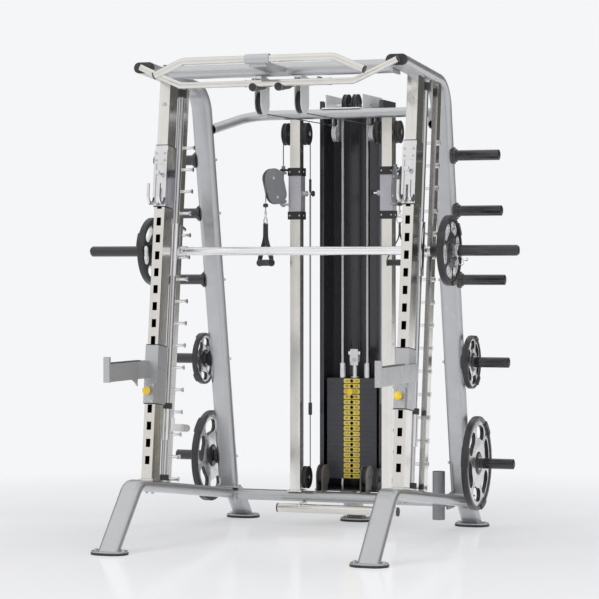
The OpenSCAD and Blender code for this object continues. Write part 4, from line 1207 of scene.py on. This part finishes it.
# ---------------------------------------------------------------- stage


BACKDROP = (0.915, 0.92, 0.935)


def aim(thing, target):
    thing.rotation_euler = (Vector(target) - thing.location).to_track_quat("-Z", "Y").to_euler()


def area_light(name, place, target, size, power, color=(1, 1, 1)):
    """A soft light that metals do not mirror: they see the studio world instead."""
    light = bpy.data.lights.new(name, "AREA")
    light.shape = "RECTANGLE"
    light.size, light.size_y = size
    light.energy = power
    light.color = color
    lamp = bpy.data.objects.new(name, light)
    lamp.location = place
    lamp.visible_glossy = False
    aim(lamp, target)
    bpy.context.scene.collection.objects.link(lamp)


def studio_world():
    """White to the camera; reflections see a bright ceiling, a warm front and a dark band behind."""
    world = bpy.data.worlds.new("studio")
    bpy.context.scene.world = world
    world.use_nodes = True
    tree = world.node_tree
    tree.nodes.clear()
    add = tree.nodes.new

    def background(color, strength):
        node = add("ShaderNodeBackground")
        if isinstance(color, tuple):
            node.inputs["Color"].default_value = (*color, 1)
        else:
            tree.links.new(color, node.inputs["Color"])
        node.inputs["Strength"].default_value = strength
        return node

    coords = add("ShaderNodeTexCoord")
    split = add("ShaderNodeSeparateXYZ")
    tree.links.new(coords.outputs["Generated"], split.inputs[0])

    def band(socket, start, end, low, high):
        node = add("ShaderNodeMapRange")
        node.interpolation_type = "SMOOTHSTEP"
        tree.links.new(socket, node.inputs["Value"])
        for key, value in (("From Min", start), ("From Max", end), ("To Min", low), ("To Max", high)):
            node.inputs[key].default_value = value
        return node.outputs["Result"]

    def blend(factor, a, b):
        node = add("ShaderNodeMix")
        node.data_type = "RGBA"
        tree.links.new(factor, node.inputs[0])
        for value, socket in ((a, node.inputs[6]), (b, node.inputs[7])):
            if isinstance(value, tuple):
                socket.default_value = (*value, 1)
            else:
                tree.links.new(value, socket)
        return node.outputs[2]

    behind = blend(band(split.outputs["Z"], 0.25, 0.75, 0, 1), (0.10, 0.097, 0.085), (0.95, 0.95, 0.95))
    left_panel = band(split.outputs["X"], -0.70, -0.56, 0, 1)
    centre_gap = band(split.outputs["X"], -0.14, -0.02, 1, 0)
    right_panel = band(split.outputs["X"], 0.45, 0.60, 0, 1)
    horizon = blend(centre_gap, (0.30, 0.295, 0.29), (0.80, 0.79, 0.77))
    horizon = blend(left_panel, (0.34, 0.335, 0.33), horizon)
    horizon = blend(right_panel, horizon, (0.85, 0.85, 0.84))
    front = blend(band(split.outputs["Z"], 0.10, 0.50, 0, 1), horizon, (1.0, 1.0, 1.0))
    sides = blend(band(split.outputs["Y"], -0.25, 0.35, 0, 1), front, behind)
    seen = background(BACKDROP, 1.0)
    mirrored = background(sides, 1.0)
    diffuse = background((1, 1, 1.02), 0.55)
    path = add("ShaderNodeLightPath")
    soft = add("ShaderNodeMixShader")
    tree.links.new(path.outputs["Is Glossy Ray"], soft.inputs[0])
    tree.links.new(diffuse.outputs[0], soft.inputs[1])
    tree.links.new(mirrored.outputs[0], soft.inputs[2])
    final = add("ShaderNodeMixShader")
    tree.links.new(path.outputs["Is Camera Ray"], final.inputs[0])
    tree.links.new(soft.outputs[0], final.inputs[1])
    tree.links.new(seen.outputs[0], final.inputs[2])
    out = add("ShaderNodeOutputWorld")
    tree.links.new(final.outputs[0], out.inputs["Surface"])


def studio_floor():
    """A pale glossy floor that melts into the white background."""
    mesh = bpy.data.meshes.new("floor")
    bm = bmesh.new()
    bmesh.ops.create_grid(bm, x_segments=8, y_segments=8, size=40)
    bm.to_mesh(mesh)
    bm.free()
    floor = bpy.data.objects.new("floor", mesh)
    bpy.context.scene.collection.objects.link(floor)
    f = Finish("studio_floor", (0.90, 0.905, 0.92), 0.0, 0.14)
    f.roughness(f.spread(f.noise(1.5, 2), 0.10, 0.18, 0.3, 0.7))
    f.bump(f.noise(3, 2), 0.0006, 0.1)
    glow = f.tree.nodes.new("ShaderNodeEmission")
    glow.inputs["Color"].default_value = (*BACKDROP, 1)
    glow.inputs["Strength"].default_value = 1.0
    far = f.spread(f.radius(), 0.50, 1.0, 0.9, 3.6)
    mixer = f.tree.nodes.new("ShaderNodeMixShader")
    f.wire(far, mixer.inputs[0])
    f.wire(f.shader.outputs[0], mixer.inputs[1])
    f.wire(glow.outputs[0], mixer.inputs[2])
    output = next(node for node in f.tree.nodes if node.type == "OUTPUT_MATERIAL")
    f.wire(mixer.outputs[0], output.inputs["Surface"])
    mesh.materials.append(f.material)
    floor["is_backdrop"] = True


def studio():
    studio_world()
    studio_floor()
    area_light("key", (-3.2, -4.2, 4.2), (0, 0, 1.0), (3.0, 3.0), 170)
    area_light("fill", (4.2, -3.4, 2.4), (0, 0, 1.0), (2.4, 3.4), 60, (1.0, 0.985, 0.96))
    area_light("rim", (1.5, 4.6, 3.6), (0, 0, 1.2), (4.0, 2.0), 100)
    area_light("top", (0, 0, 5.2), (0, 0, 0), (4.5, 4.5), 110)
    view = bpy.context.scene.view_settings
    view.view_transform = "Standard"
    camera = bpy.data.objects.new("camera", bpy.data.cameras.new("camera"))
    camera.location = (3.4498, -9.5796, 1.2094)
    camera.rotation_euler = (math.radians(89.274), 0, math.radians(19.884))
    camera.data.sensor_width = 36
    camera.data.lens = 135.68
    bpy.context.scene.collection.objects.link(camera)
    bpy.context.scene.camera = camera


# ---------------------------------------------------------------- build

finish_nodes()
for name in SIDES:
    low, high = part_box(f"trolley_{name}")
    inner = (low.z + 0.039, high.z - 0.039)
    second_finish(f"trolley_{name}", DARK_PLASTIC,
                  lambda centre, normal: not inner[0] < centre.z < inner[1])
second_finish("cables", CLEAR_CABLE, lambda centre, normal: 0.58 < centre.z < 1.587 and abs(centre.x) < 0.2)
second_finish("stack_shroud", PANEL, lambda centre, normal: normal.y < -0.9 and abs(centre.x) < 0.15)
# Painted shade: the front uprights' bore and rack-hole edges get the near-black colour.
second_finish("front_uprights", BORE_SHADE, inside_upright)
second_finish("pulley_housings", UMBER, lambda centre, normal: centre.z < 1.0)
weight_plates()
stack_labels()
stack_cables()
stack_yoke()
selector_knob()
head_covers()
handles()
trolley_details()
trolley_knobs()
arm_knobs()
arm_details()
hook_details()
welds()
foot_bolts()
grip_sleeves()
horn_caps()
spring_clip()
studio()

low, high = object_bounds()
